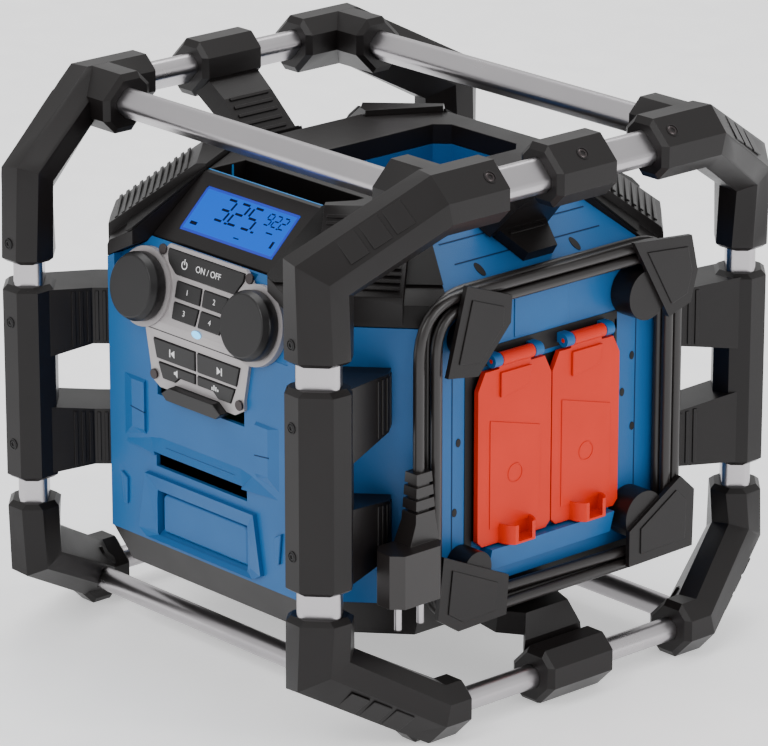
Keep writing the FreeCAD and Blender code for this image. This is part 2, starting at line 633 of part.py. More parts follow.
def pod(gap=0.0, drop=0.0):
    shape = pod_room(-gap).common(prism(plan(S.pod_low), V(0, 0, S.pod_top - S.pod_low)))
    foot = V(S.pod_reach, -S.pod_reach, S.pod_low)
    knee = V(S.pod_reach - S.pod_lean, S.pod_lean - S.pod_reach, S.pod_knee)
    rise = S.pod_knee - S.pod_low
    shape = clip(shape, foot - out_corner * drop, V(rise, -rise, 2 * S.pod_lean))
    return clip(shape, knee - V(1, -1, 1.4) * (0.7 * drop), V(1, -1, 2))


pod_rooms = [flip(pod_room(S.seam_gap), sx, sy) for sx, sy in CORNERS.values()]
plate_y = S.front_y + S.plate_thick


def well(gap=0.0, top=20.0):
    """The deep well in the deck, its corners cut, or with a gap the wall round it."""
    x, front, rear, cut = S.well_half + gap, S.well_front_y + gap, S.well_rear_y + gap, 9.0
    points = [(-x, cut - front), (cut - x, -front), (x - cut, -front), (x, cut - front),
              (x, rear - cut), (x - cut, rear), (cut - x, rear), (-x, rear - cut)]
    return prism([V(*p, S.well_floor - gap) for p in points], V(0, 0, S.deck_high - S.well_floor + gap + top))


well_rim = S.deck_high - 14.0
bay = block(-S.bay_half, S.bay_half, S.front_y - S.bay_deep, S.front_y + OVER, S.bay_low, S.bay_high)
bay_wall = block(-S.bay_half - S.wall, S.bay_half + S.wall, S.front_y - S.bay_deep - S.wall,
                 S.front_y - S.wall / 2, S.bay_low - S.wall, S.bay_high + S.wall)
door_inner = S.door_half - 6
media = block(-S.side_x - OVER, -S.side_x + S.door_deep, -door_inner, door_inner, S.door_low + 6, S.door_high - 6)
media_wall = block(-S.side_x + S.wall / 2, -S.side_x + S.door_deep + S.wall, -door_inner - S.wall,
                   door_inner + S.wall, S.door_low + 6 - S.wall, S.door_high - 6 + S.wall)
outlet_hole = block(S.side_x - S.wall - 1, S.side_x + OVER, S.outlet_front_y, S.outlet_rear_y,
                    S.outlet_low, S.outlet_high)
frame_low = S.shell_low + 4
frame_pocket = prism([V(x, -S.front_y + y, z) for x, y, z in (
    (-S.frame_half, -9, S.frame_high), (-S.frame_half, S.frame_deep, S.frame_high - 10),
    (-S.frame_half, S.frame_deep, frame_low + 8), (-S.frame_half, -9, frame_low - 6))], V(2 * S.frame_half, 0, 0))
frame_wall = block(-S.frame_half - 3, S.frame_half + 3, -S.front_y + 1, -S.front_y + S.frame_deep + S.wall,
                   frame_low, S.frame_high + 3)
port = block(-S.port_half, S.port_half, -S.front_y - OVER, -S.front_y + OVER,
             S.port_high - S.port_tall, S.port_high)
cover_foot = S.console_foot_z - 6.0


def main_housing():
    shape = housing_form().cut(housing_form(S.wall))
    shape = shape.fuse(bay_wall).fuse(media_wall).fuse(frame_wall)
    shape = shape.fuse(well(S.wall, 0).common(block(-BIG, BIG, -BIG, BIG, 0, well_rim)))
    shape = shape.cut(block(-S.deck_side + S.wall, S.deck_side - S.wall, -S.console_foot_y - 1,
                            S.console_foot_y + 1, cover_foot, BIG).cut(well(S.wall, 0)))
    for room in (bay, media, outlet_hole, frame_pocket, port, well()):
        shape = shape.cut(room)
    crease_y, lean_long = -S.front_y + S.seam_gap, 1.4
    lean_cut = prism([V(-S.knob_x - 31, -S.front_y - OVER, S.lean_start), V(-S.knob_x - 31, crease_y, S.lean_start),
                      V(-S.knob_x - 31, crease_y + lean_long * S.lean_back, S.lean_start + lean_long * S.lean_rise),
                      V(-S.knob_x - 31, -S.front_y - OVER, S.lean_start + lean_long * S.lean_rise)],
                     V(2 * S.knob_x + 62, 0, 0))
    shape = shape.fuse(prism(plan(S.lean_start - 9, 0.5), V(0, 0, S.console_foot_z - S.lean_start)).common(
        block(-BIG, BIG, -S.front_y, -S.front_y + S.front_thick, 0, BIG))).cut(lean_cut)
    for room in pod_rooms:
        shape = shape.cut(room)
    for x in (-S.knob_x, S.knob_x):
        shape = shape.cut(block(x - 5, x + 5, -S.front_y - OVER, -S.front_y + S.key_room_deep, S.knob_z - 8, S.knob_z + 8))
    shape = shape.cut(block(-key_room, key_room, -S.front_y - OVER, -S.front_y + S.key_room_deep,
                            S.plate_low - 10, S.plate_top))
    ledge = prism([V(S.side_x - 1, S.ledge_front_y, z) if x == 0 else V(S.side_x + x, S.ledge_front_y, z)
                   for x, z in ((0, S.ledge_low), (S.ledge_out - 4, S.ledge_low), (S.ledge_out, S.ledge_high),
                                (0, S.ledge_high))], V(0, S.ledge_rear_y - S.ledge_front_y, 0))
    shape = clip(shape.fuse(ledge), V(0, 0, S.slope_high), V(0, 0, 1))
    web = block(S.well_half + S.wall / 2, S.side_x - S.wall / 2, -S.wall / 2, S.wall / 2,
                S.well_floor, S.well_floor + 14)
    shape = shape.fuse(web).fuse(flip(web, -1, -1))
    for span in cover_spans:
        for knuckle in hinge_wall_knuckles(middle(span)):
            shape = shape.fuse(knuckle)
    for knuckle in hinge_wall_knuckles(0.0):
        shape = shape.fuse(flip(knuckle, -1, -1))
    return shape


key_room = S.front_half - 50.0


def cover_form(drop=0.0):
    shape = block(-S.deck_side, S.deck_side, -S.console_foot_y, S.console_foot_y, cover_foot + 0.3 - drop,
                  S.deck_high - drop)
    shape = clip_all_sides(shape, V(S.deck_side, 0, S.slope_high - drop),
                           V(S.deck_high - S.slope_high, 0, S.deck_side - S.deck_x))
    return clip_front_and_rear(shape, drop)


tray_front_y = S.console_top_y - 5
tray = block(-S.console_half + 5, S.console_half - 5, -tray_front_y, -S.tray_back_y,
             S.deck_high - S.tray_depth, BIG)
tray_wall = block(-S.console_half + 2, S.console_half - 2, -tray_front_y - 3, -S.tray_back_y + 3,
                  S.deck_high - S.tray_depth - 3, BIG)


def top_cover():
    form = cover_form()
    shape = form.cut(cover_form(S.wall + 0.8)).fuse(form.common(tray_wall)).cut(tray)
    collar = form.common(well(2 * S.wall)).common(block(-BIG, BIG, -BIG, BIG, well_rim - 8, BIG))
    shape = shape.fuse(collar).cut(well(0, BIG)).cut(
        well(S.wall + S.seam_gap, 0).common(block(-BIG, BIG, -BIG, BIG, 0, well_rim + S.seam_gap)))
    for room in pod_rooms:
        shape = shape.cut(room)
    gap = S.seam_gap
    side_rest = block(-S.deck_side + S.wall + gap, S.deck_side - S.wall - gap, -S.console_foot_y + gap,
                      S.console_foot_y - gap, 0, BIG).fuse(block(-BIG, BIG, -BIG, BIG, S.slope_high + gap, BIG))
    shape = shape.common(side_rest).cut(lcd_room())
    return max(shape.Solids, key=lambda solid: solid.Volume)


# The slanted console holds the display. Its own directions: to the right, up the slope, and out of it.
slope_up = V(0, console_run, console_rise).normalize()
slope_out = V(0, -console_rise, console_run).normalize()
lcd_middle = V(0, -S.console_foot_y, S.console_foot_z) + slope_up * S.lcd_up


def on_console(wide, tall, low, high):
    corner = [lcd_middle + V(1, 0, 0) * (i * wide / 2) + slope_up * (j * tall / 2) + slope_out * low
              for i, j in ((-1, -1), (1, -1), (1, 1), (-1, 1))]
    return prism(corner, slope_out * (high - low))


def lcd_room():
    return on_console(S.lcd_wide + 2 * S.seam_gap, S.lcd_tall + 2 * S.seam_gap, -9, 9)


feature("top_cover", top_cover())
feature("display_window", on_console(S.lcd_wide, S.lcd_tall, -2.2, -0.2))
feature("display_module", on_console(S.lcd_wide - 2, S.lcd_tall - 2, -7.5, -2.5))


def base_tray():
    top, low = plan(S.shell_low - S.seam_gap, 1.0), plan(S.base_low, S.base_inset)
    shape = loft([low, top])
    inner = loft([plan(S.base_low + S.wall, S.base_inset + S.wall), plan(S.shell_low, 1.0 + S.wall)])
    rim = prism(plan(S.shell_low - 3, S.wall + S.seam_gap), V(0, 0, 9)).cut(
        prism(plan(S.shell_low - 3, 2 * S.wall), V(0, 0, 9)))
    rim = rim.cut(frame_wall)
    return shape.cut(inner).fuse(rim)


def pod_band(extra=0.0):
    half = S.pod_band / 2 + extra
    return prism([corner_middle + along_corner * (i * half) + out_corner * j + V(0, 0, S.pod_low)
                  for i, j in ((-1, -90), (1, -90), (1, 20), (-1, 20))], V(0, 0, 120))


def corner_pod():
    whole, cheeks = pod(S.seam_gap), pod(S.seam_gap, S.band_step)
    hollow = pod(S.seam_gap + S.wall, S.band_step + S.wall).common(
        prism(plan(S.pod_low, S.wall), V(0, 0, S.pod_top - S.pod_low - S.wall)))
    return cheeks.fuse(whole.common(pod_band())).cut(hollow)


def cheek_grille():
    skin = pod(S.seam_gap, S.band_step - 1.2).cut(pod(S.seam_gap, S.band_step - S.seam_gap))
    return skin.cut(pod_band(S.seam_gap)).common(block(0, BIG, -BIG, 0, S.pod_knee + 4, S.pod_top))


def speaker_cones(width, deep, at):
    """A loudspeaker: basket cone, magnet and rim, facing along its own +Z."""
    rim = Part.makeCylinder(width / 2, 4)
    basket = Part.makeCone(width / 2 - 3, width / 4, deep, V(0, 0, 0), V(0, 0, -1))
    magnet = Part.makeCylinder(width / 3.4, deep / 2, V(0, 0, -deep), V(0, 0, -1))
    shape = rim.fuse(basket).fuse(magnet).cut(Part.makeCone(width / 2 - 5, width / 8, deep * 0.7,
                                                            V(0, 0, 4.01), V(0, 0, -1)))
    shape.Placement = at
    return shape


driver_at = corner_middle - out_corner * S.driver_inset + V(0, 0, S.pod_low - S.driver_drop)
driver_place = FreeCAD.Placement(driver_at, FreeCAD.Rotation(V(0, 0, 1), V(1, -1, 2)))
drivers = speaker_cones(S.speaker_width, S.driver_deep, driver_place)
feature("base_tray", base_tray())
feature("speaker_pods", Part.makeCompound([flip(corner_pod(), sx, sy) for sx, sy in CORNERS.values()]))
feature("speaker_grilles", Part.makeCompound([flip(cheek_grille(), sx, sy) for sx, sy in CORNERS.values()]))
feature("speaker_drivers", Part.makeCompound([flip(drivers, sx, sy) for sx, sy in CORNERS.values()]))
feature("subwoofer", speaker_cones(S.woofer_width, S.woofer_deep, FreeCAD.Placement(
    V(0, 0, S.base_low + S.wall + 4), FreeCAD.Rotation(V(0, 0, 1), V(0, 0, -1)))))

# Control plate: its upper half leans back. Pieces on it are drawn on an upright plane and placed.
lean_angle = math.degrees(math.atan2(S.lean_back, S.lean_rise))
lean_turn = FreeCAD.Rotation(V(1, 0, 0), -lean_angle)
UPPER = FreeCAD.Placement(V(0, -plate_y, S.lean_start), lean_turn)
LOWER = FreeCAD.Placement(V(0, -plate_y, S.lean_start), FreeCAD.Rotation())
# Keys: which half of the plate they are on, and their outlines from the middle of the crease
KEYS = {
    "key_power": (UPPER, [(-36, 40), (-38, 45), (-38, 49), (38, 49), (38, 44), (31, 34), (-28, 34)]),
    "key_preset_1": (UPPER, [(-25.5, 19), (-0.8, 19), (-0.8, 30), (-25.5, 30)]),
    "key_preset_2": (UPPER, [(1.8, 19), (25.5, 19), (25.5, 30), (1.8, 30)]),
    "key_preset_3": (UPPER, [(-25.5, 5), (-2.5, 5), (-0.8, 16), (-25.5, 16)]),
    "key_preset_4": (UPPER, [(0.6, 5), (22, 5), (25.5, 16), (1.8, 16)]),
    "key_previous": (LOWER, [(-40, -25), (-1.3, -25), (-1.3, -12), (-43.5, -12)]),
    "key_next": (LOWER, [(1.3, -25), (40, -25), (43.5, -12), (1.3, -12)]),
    "key_mute": (LOWER, [(-34, -38), (-22, -38), (-17, -34), (-1.3, -34), (-1.3, -27.5), (-38.5, -27.5)]),
    "key_equalizer": (LOWER, [(1.3, -34), (17, -34), (22, -38), (34, -38), (38.5, -27.5), (1.3, -27.5)]),
    "key_source": (LOWER, [(-25, -50), (-30, -46), (-22, -40.5), (22, -40.5), (30, -46), (25, -50)]),
}


def on_plate(place, points, low, high):
    shape = prism([V(x, -low, z) for x, z in points], V(0, low - high, 0))
    shape.Placement = place
    return shape


def grown(points, gap):
    outline = wire([V(x, 0, z) for x, z in points]).makeOffset2D(gap, 2)
    shape = Part.Face(outline).extrude(V(0, -40, 0))
    shape.translate(V(0, 20, 0))
    return shape


def control_plate():
    t = S.plate_thick
    lower = [(-52, 0), (52, 0), (52, -8), (47, -33), (47, -40), (38, -45), (-38, -45), (-47, -40), (-47, -33), (-52, -8)]
    upper = [(-52, 0), (52, 0), (52, 20), (47, 44), (38, 52), (-38, 52), (-47, 44), (-52, 20)]
    shape = on_plate(LOWER, lower, -t, 0).fuse(on_plate(UPPER, upper, -t, 0))
    for sx in (1, -1):
        up = S.knob_z - S.lean_start
        ring = Part.makeCylinder(S.ring_width / 2, S.ring_high + t, V(sx * S.knob_x, t, up), V(0, -1, 0))
        bore = Part.makeCylinder(S.shaft_width / 2 + S.shaft_gap, 40, V(sx * S.knob_x, 20, up), V(0, -1, 0))
        ring.Placement = UPPER
        bore.Placement = UPPER
        shape = shape.fuse(ring).cut(bore)
    for place, points in KEYS.values():
        hole = grown(points, S.key_gap)
        hole.Placement = place.multiply(hole.Placement)
        shape = shape.cut(hole)
    return shape


feature("control_plate", control_plate())
for label, (place, points) in KEYS.items():
    key = new_body(label)
    sketch = sketch_on(key, "XZ_Plane", label + "_outline")
    draw_outline(sketch, [(str(float(x)), str(float(z))) for x, z in points])
    pad(key, sketch, "key_deep * 2" if label == "key_source" else "key_deep")
    seat = S.key_deep - S.key_proud
    key.Placement = place.multiply(FreeCAD.Placement(V(0, seat, 0), FreeCAD.Rotation()))

for label, sx in (("volume_knob", -1), ("tuning_knob", 1)):
    knob = new_body(label)
    profile = sketch_on(knob, "XZ_Plane", label + "_profile")
    r, base = "knob_width / 2", "(ring_high + knob_air)"
    draw_outline(profile, [("0", "-9"), ("shaft_width / 2", "-9"), ("shaft_width / 2", base), (r, base),
                           (r, base + " + knob_high * 0.6"), (r + " - 2.5", base + " + knob_high"),
                           ("0", base + " + knob_high")])
    turned = knob.newObject("PartDesign::Revolution", "Turn")
    turned.Profile = profile
    turned.ReferenceAxis = (profile, ["V_Axis"])
    turned.Angle = 360
    knob.Tip = turned
    outward = FreeCAD.Rotation(V(0, 0, 1), V(0, -1, 0))
    local = FreeCAD.Placement(V(sx * S.knob_x, 0, S.knob_z - S.lean_start), outward)
    knob.Placement = UPPER.multiply(local)

# Mains outlets behind the covers on the right: a panel with two round wells
outlet_middle_z = (S.outlet_low + S.outlet_high) / 2
cover_spans = ((S.outlet_front_y, S.cover_split_y - S.cover_gap), (S.cover_split_y + S.cover_gap, S.outlet_rear_y))


def middle(span):
    return (span[0] + span[1]) / 2


def outlet_insert():
    gap, face = S.seam_gap, S.side_x - S.seam_gap
    inner = S.side_x - S.wall - gap
    shape = block(inner - S.wall, face, S.outlet_front_y + gap, S.outlet_rear_y - gap,
                  S.outlet_low + gap, S.outlet_high - gap)
    shape = shape.fuse(block(inner - S.wall, inner, S.outlet_front_y - 4, S.outlet_rear_y + 4,
                             S.outlet_low - 4, S.outlet_high + 4))
    back = face - S.socket_deep
    for span in cover_spans:
        y = middle(span)
        shape = shape.fuse(Part.makeCylinder(S.socket_width / 2 + S.wall, face - back + S.wall,
                                             V(back - S.wall, y, outlet_middle_z), V(1, 0, 0)))
        shape = shape.cut(Part.makeCylinder(S.socket_width / 2, S.socket_deep + 1, V(back, y, outlet_middle_z),
                                            V(1, 0, 0)))
        for i in (-1, 1):
            shape = shape.cut(Part.makeCylinder(S.contact_width / 2, 9, V(back - 6, y + i * S.contact_pitch / 2,
                                                                          outlet_middle_z), V(1, 0, 0)))
    return shape


# Hinges of the flaps: a knuckle and two pins on the flap, and a holed knuckle at each side on the wall
def hinge_wall_knuckles(y):
    shapes = []
    near, far = S.knuckle_long / 2 + S.cover_gap, S.knuckle_long / 2 + S.cover_gap + S.wall_knuckle
    for low, high in ((y + near, y + far), (y - far, y - near)):
        barrel = Part.makeCylinder(S.hinge_width / 2, high - low, V(S.hinge_x, low, S.hinge_z), V(0, 1, 0))
        web = block(S.side_x - S.wall / 2, S.hinge_x, low, high, S.hinge_z - 2, S.hinge_z + S.hinge_width / 2)
        hole = Part.makeCylinder(S.pin_width / 2 + S.pin_gap, high - low, V(S.hinge_x, low, S.hinge_z), V(0, 1, 0))
        shapes.append(barrel.fuse(web).cut(hole))
    return shapes


def flap(low_y, high_y, low_z, cup):
    """A cover on the right side, with its hinge at the top, and if asked a finger cup at the bottom."""
    y = (low_y + high_y) / 2
    inner, outer = S.hinge_x - S.cover_thick, S.hinge_x
    top = S.hinge_z - S.hinge_width / 2 - 2
    cut = 12.0
    face = [V(inner, low_y, low_z + 4), V(inner, low_y + 4, low_z), V(inner, high_y - 4, low_z),
            V(inner, high_y, low_z + 4), V(inner, high_y, top - cut), V(inner, high_y - cut / 2, top),
            V(inner, low_y + cut / 2, top), V(inner, low_y, top - cut)]
    shape = prism(face, V(S.cover_thick, 0, 0))
    half = S.knuckle_long / 2
    shape = shape.fuse(block(inner, outer, y - half, y + half, top - 6, S.hinge_z))
    shape = shape.fuse(Part.makeCylinder(S.hinge_width / 2, 2 * half, V(S.hinge_x, y - half, S.hinge_z),
                                         V(0, 1, 0)))
    reach = half + S.cover_gap + S.wall_knuckle
    shape = shape.fuse(Part.makeCylinder(S.pin_width / 2, 2 * reach, V(S.hinge_x, y - reach, S.hinge_z), V(0, 1, 0)))
    if cup:
        outside = Part.makeCylinder(S.lip_width / 2, S.lip_high, V(outer, y, low_z), V(0, 0, 1))
        inside = Part.makeCylinder(S.lip_width / 2 - 1.6, S.lip_high, V(outer, y, low_z + 1.6), V(0, 0, 1))
        ring = outside.cut(inside).common(block(outer - 0.1, BIG, -BIG, BIG, 0, BIG))
        shape = shape.fuse(ring.common(block(outer - 0.1, outer + S.lip_out, -BIG, BIG, 0, BIG)))
    return shape


feature("outlet_insert", outlet_insert())
for label, (low_y, high_y) in zip(("outlet_cover_front", "outlet_cover_rear"), cover_spans):
    feature(label, flap(low_y, high_y, S.cover_low, True))
feature("media_door", flip(flap(-S.door_half, S.door_half, S.door_low, True), -1, -1))


# Battery pack in the rear dock
def battery_pack():
    gap = S.pack_gap
    half, low, high = S.bay_half - gap, S.bay_low + gap, S.bay_high - gap
    front = S.front_y - S.bay_deep + gap
    shape = block(-half, half, front, S.front_y + S.pack_proud, low, high)
    edges = [e for e in shape.Edges if abs(e.tangentAt(e.FirstParameter).y) > 0.99
             or e.CenterOfMass.y > S.front_y + S.pack_proud - 0.1]
    return shape.makeChamfer(3, edges)


feature("battery_pack", battery_pack())

# Cord hooks on the right side: the radius and middle of each post, and the corners of its outer plate,
# in y and z
HOOKS = (
    (12, (-75, 258), ((-88, 299), (-49, 285), (-50, 267), (-78, 237), (-104, 241))),
    (17, (75, 258), ((59, 297), (112, 292), (118, 267), (112, 246), (92, 240))),
    (12, (-75, 105), ((-107, 122), (-50, 96), (-52, 69), (-94, 68), (-112, 80))),
    (17, (75, 105), ((106, 126), (119, 114), (118, 74), (59, 73), (59, 98))),
)
hook_inner = S.hook_x - S.hook_thick


def cord_hooks():
    hooks = []
    for radius, (y, z), corners in HOOKS:
        post = Part.makeCylinder(radius, hook_inner - S.side_x - S.seam_gap + 1,
                                 V(S.side_x + S.seam_gap, y, z), V(1, 0, 0))
        plate = prism([V(hook_inner, *corner) for corner in corners], V(S.hook_thick, 0, 0))
        hooks.append(plate.fuse(post))
    return Part.makeCompound(hooks)


feature("cord_hooks", cord_hooks())


# Mains cord: one tube that winds in and out again round the hooks, then drops to the plug
def tangent_route(points, radii):
    """Edges of a route: straight runs, and an arc of the given radius at each inner point."""
    edges, start = [], points[0]
    for before, corner, after, radius in zip(points, points[1:], points[2:], radii):
        back, on = (before - corner).normalize(), (after - corner).normalize()
        half = (math.pi - back.getAngle(on)) / 2
        tangent = radius * math.tan(half)
        first, last = corner + back * tangent, corner + on * tangent
        inward = (back + on).normalize()
        centre = corner + inward * (radius / math.cos(half))
        edges.append(Part.LineSegment(start, first).toShape())
        edges.append(Part.Arc(first, centre - inward * radius, last).toShape())
        start = last
    edges.append(Part.LineSegment(start, points[-1]).toShape())
    return edges


def tube(edges, width):
    start = edges[0].valueAt(edges[0].FirstParameter)
    heading = edges[0].tangentAt(edges[0].FirstParameter)
    ring = Part.Wire([Part.makeCircle(width / 2, start, heading)])
    return Part.Wire(edges).makePipeShell([ring], True, False)


step = S.cord_pitch
layer_low, layer_high = S.wrap_x, S.wrap_x + step
outer_y, inner_y = S.wrap_y, S.wrap_y - step
outer_top, inner_top = S.wrap_high, S.wrap_high - step
outer_low, inner_low = S.wrap_low, S.wrap_low + step
big_turn, small_turn = S.wrap_turn, S.wrap_turn - step
middle_turn = (big_turn + small_turn) / 2
gland_top = S.wrap_low + 19.0
climb_half = 67.0
WINDING = [
    # layer, y, z and the radius of the turn there
    (layer_low, outer_y, gland_top, 0),
    (layer_low, outer_y, outer_top, big_turn), (layer_low, -outer_y, outer_top, big_turn),
    (layer_low, -outer_y, outer_low, big_turn), (layer_low, inner_y, outer_low, big_turn),
    (layer_low, inner_y, inner_top, small_turn), (layer_low, -inner_y, inner_top, small_turn),
    (layer_low, -inner_y, inner_low, small_turn),
    (layer_low, -climb_half, inner_low, 100.0), (layer_high, climb_half, inner_low, 100.0),
    (layer_high, inner_y, inner_low, small_turn), (layer_high, inner_y, inner_top, small_turn),
    (layer_high, -outer_y, inner_top, middle_turn), (layer_high, -outer_y, outer_low, big_turn),
    (layer_high, outer_y, outer_low, big_turn), (layer_high, outer_y, outer_top, big_turn),
    (layer_high, -S.tail_y, outer_top, S.tail_turn),
    (layer_high, -S.tail_y, outer_top - S.tail_turn - S.cord_width, 0),
]
winding_points = [V(x, y, z) for x, y, z, turn in WINDING]
winding_radii = [turn for x, y, z, turn in WINDING[1:-1]]
winding_edges = tangent_route(winding_points, winding_radii)
winding = tube(winding_edges, S.cord_width)
tail_top = winding_points[-1]
tail_end = V(tail_top.x, tail_top.y, S.plug_top)
tail_edges = [Part.LineSegment(tail_top, tail_end).toShape()]
feature("cord_winding", winding)
feature("cord_tail", tube(tail_edges, S.cord_width))
feature("cord_gland", block(S.side_x + S.seam_gap, layer_high - S.cord_width / 2 - S.seam_gap,
                            outer_y - 4.5, outer_y + 4.5, gland_top - 14, gland_top))


def least_gap(edges, width):
    """The least air between two stretches of a tube, measured on points along its route."""
    points, run = [], 0.0
    for edge in edges:
        count = max(2, int(edge.Length / 1.5))
        for i in range(count):
            share = edge.FirstParameter + (edge.LastParameter - edge.FirstParameter) * i / count
            points.append((run + edge.Length * i / count, edge.valueAt(share)))
        run += edge.Length
    best = BIG
    for i, (here, point) in enumerate(points):
        for there, other in points[i + 1:]:
            if there - here > 6 * width:
                best = min(best, (point - other).Length)
    return best - width


winding_length = sum(edge.Length for edge in winding_edges)
section = math.pi * S.cord_width ** 2 / 4
print("cord radii", sorted(set(round(turn, 2) for turn in winding_radii)))
print("cord winding's least gap to itself, mm:", round(least_gap(winding_edges, S.cord_width), 3))
print("cord length, mm:", round(winding_length + tail_edges[0].Length, 1))
print("tube volume over section times length:", round(winding.Volume / (section * winding_length), 5))


# Plug at the end of the cord: ribbed strain relief, neck, body with cut corners and two round pins
def mains_plug():
    x, y, top = layer_high, -S.tail_y, S.plug_top
    rib_end = top - 32
    relief = loft([[V(x + i * w, y + j * d, z) for i, j in ((-1, -1), (1, -1), (1, 1), (-1, 1))]
                   for w, d, z in ((7.0, 8.5, rib_end), (5.5, 6.5, top))])
    for i in range(3):
        z = rib_end + 6 + i * 8.5
        ring = block(x - 9, x + 9, y - 9, y + 9, z, z + 2).cut(block(x - 4.6, x + 4.6, y - 5, y + 5, z, z + 2))
        relief = relief.cut(ring)
    neck = loft([[V(px, py, z) for px, py in ((x - w, a), (x + w, a), (x + w, b), (x - w, b))]
                 for w, a, b, z in ((8, y - 14, y + 10, S.plug_body_high), (7.0, y - 8.5, y + 8.5, rib_end))])
    body_y = y - 12.5
    half, deep, cut = S.plug_wide / 2, S.plug_deep / 2, 7.0
    outline = [(-half, -deep + cut), (-half + cut, -deep), (half - cut, -deep), (half, -deep + cut),
               (half, deep - cut), (half - cut, deep), (-half + cut, deep), (-half, deep - cut)]
    body = prism([V(x + S.plug_deep / 2 - 8 + d, body_y + w, S.plug_body_low) for w, d in outline],
                 V(0, 0, S.plug_body_high - S.plug_body_low))
    shape = relief.fuse(neck).fuse(body)
    for i in (-1, 1):
        shape = shape.fuse(Part.makeCylinder(S.plug_pin / 2, S.pin_long + 1,
                                             V(x + S.plug_deep / 2 - 8, body_y + i * S.contact_pitch / 2,
                                               S.plug_body_low - S.pin_long)))
    return shape


feature("mains_plug", mains_plug())

# Inside: the main board behind the keys and the power supply beside the outlets
board_y = -S.front_y + S.front_thick + S.board_back
board = block(-S.board_half, S.board_half, board_y, board_y + S.board_thick, S.board_low, S.board_high)
for side in (-1, 1):
    spacer_at = V(side * (S.board_half - S.post_inset), board_y + S.board_thick / 2, S.board_high - 6)
    board = board.fuse(Part.makeCylinder(3, S.board_back + S.board_thick / 2 - S.seam_gap, spacer_at, V(0, -1, 0)))
feature("main_board", board)
supply_x = S.supply_high_x
supply = block(S.supply_low_x, supply_x, -S.supply_half, S.supply_half, S.supply_low, S.supply_high)
supply = supply.cut(block(supply_x - 14, supply_x + 1, -S.supply_half - 1, S.supply_half + 1,
                          S.supply_low + 2 * S.supply_foot, S.supply_high + 1))
foot = block(supply_x - S.supply_foot, S.side_x - 3 * S.wall, -S.supply_half, S.supply_half,
             S.supply_low, S.supply_low + S.supply_foot)
feature("power_supply", supply.fuse(foot))


# Screw heads that show on the outside
def screw(place, out, width=7.0):
    return Part.makeCylinder(width / 2, 1.6, place + out * 0.05, out)


def case_screws():
    heads = []
    for sx in (1, -1):
        for place, x, z in ((UPPER, 43.5, 47.2), (LOWER, 43.0, -37)):
            head = screw(V(sx * x, 0, z), V(0, -1, 0))
            head.Placement = place
            heads.append(head)
    return Part.makeCompound(heads)


feature("case_screws", case_screws())

feature("main_housing", main_housing())

doc.recompute()
pieces = [item for item in doc.Objects if item.TypeId in ("Part::Feature", "PartDesign::Body")]
for item in doc.Objects:
    if "Invalid" in item.State or "Error" in item.State:
        raise RuntimeError("%s failed: %s" % (item.Label, item.State))
for piece in pieces:
    if piece.Shape.isNull() or not piece.Shape.isValid():
        raise RuntimeError("%s has no valid shape" % piece.Label)
os.makedirs("parts", exist_ok=True)
for piece in pieces:
    piece.Shape.exportStep("parts/%s.step" % piece.Label)
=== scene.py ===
import bpy, bmesh, math
from mathutils import Vector, Matrix


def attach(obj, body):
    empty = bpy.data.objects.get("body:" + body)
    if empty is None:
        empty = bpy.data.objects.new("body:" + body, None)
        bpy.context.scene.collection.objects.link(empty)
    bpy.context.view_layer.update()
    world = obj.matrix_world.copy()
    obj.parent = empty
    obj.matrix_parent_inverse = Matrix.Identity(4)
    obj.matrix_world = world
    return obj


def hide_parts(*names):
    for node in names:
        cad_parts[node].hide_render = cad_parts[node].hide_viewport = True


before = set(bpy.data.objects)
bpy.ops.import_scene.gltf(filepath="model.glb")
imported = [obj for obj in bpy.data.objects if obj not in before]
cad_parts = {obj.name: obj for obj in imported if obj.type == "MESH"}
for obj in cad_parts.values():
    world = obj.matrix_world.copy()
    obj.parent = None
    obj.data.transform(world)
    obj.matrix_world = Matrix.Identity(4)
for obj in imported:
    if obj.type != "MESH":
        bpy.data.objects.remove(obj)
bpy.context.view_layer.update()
scene = bpy.context.scene

# Camera: long lens at the photograph's view of the right front corner
camera_data = bpy.data.cameras.new("camera")
camera_data.lens = 229.6
camera_data.sensor_width = 36.0
camera = bpy.data.objects.new("camera", camera_data)
scene.collection.objects.link(camera)
camera.location = (2.3202, -2.0790, 1.2292)
aim = Vector((-0.08941, 0.07803, 0.1380)) - camera.location
camera.rotation_euler = aim.to_track_quat("-Z", "Y").to_euler()
camera_data.clip_end = 30.0
scene.camera = camera

# Studio: pale floor, even white surroundings and three wide lamps
floor_mesh = bpy.data.meshes.new("floor")
floor_mesh.from_pydata([(-6, -6, 0), (6, -6, 0), (6, 6, 0), (-6, 6, 0)], [], [(0, 1, 2, 3)])
floor = bpy.data.objects.new("floor", floor_mesh)
scene.collection.objects.link(floor)
world = bpy.data.worlds.new("studio")
scene.world = world
world.use_nodes = True
world.node_tree.nodes["Background"].inputs["Color"].default_value = (1.0, 1.0, 1.0, 1)
world.node_tree.nodes["Background"].inputs["Strength"].default_value = 0.95
lamp_aim = Vector((0, 0, 0.18))
for name, place, size, power in (("key_lamp", (0.5, -2.6, 2.4), 1.6, 42),
                                 ("side_lamp", (2.8, 0.6, 1.3), 1.4, 26),
                                 ("top_lamp", (-0.6, 0.8, 2.8), 2.0, 40)):
    lamp_data = bpy.data.lights.new(name, "AREA")
    lamp_data.size = size
    lamp_data.energy = power
    lamp = bpy.data.objects.new(name, lamp_data)
    scene.collection.objects.link(lamp)
    lamp.location = place
    lamp.rotation_euler = (lamp_aim - lamp.location).to_track_quat("-Z", "Y").to_euler()

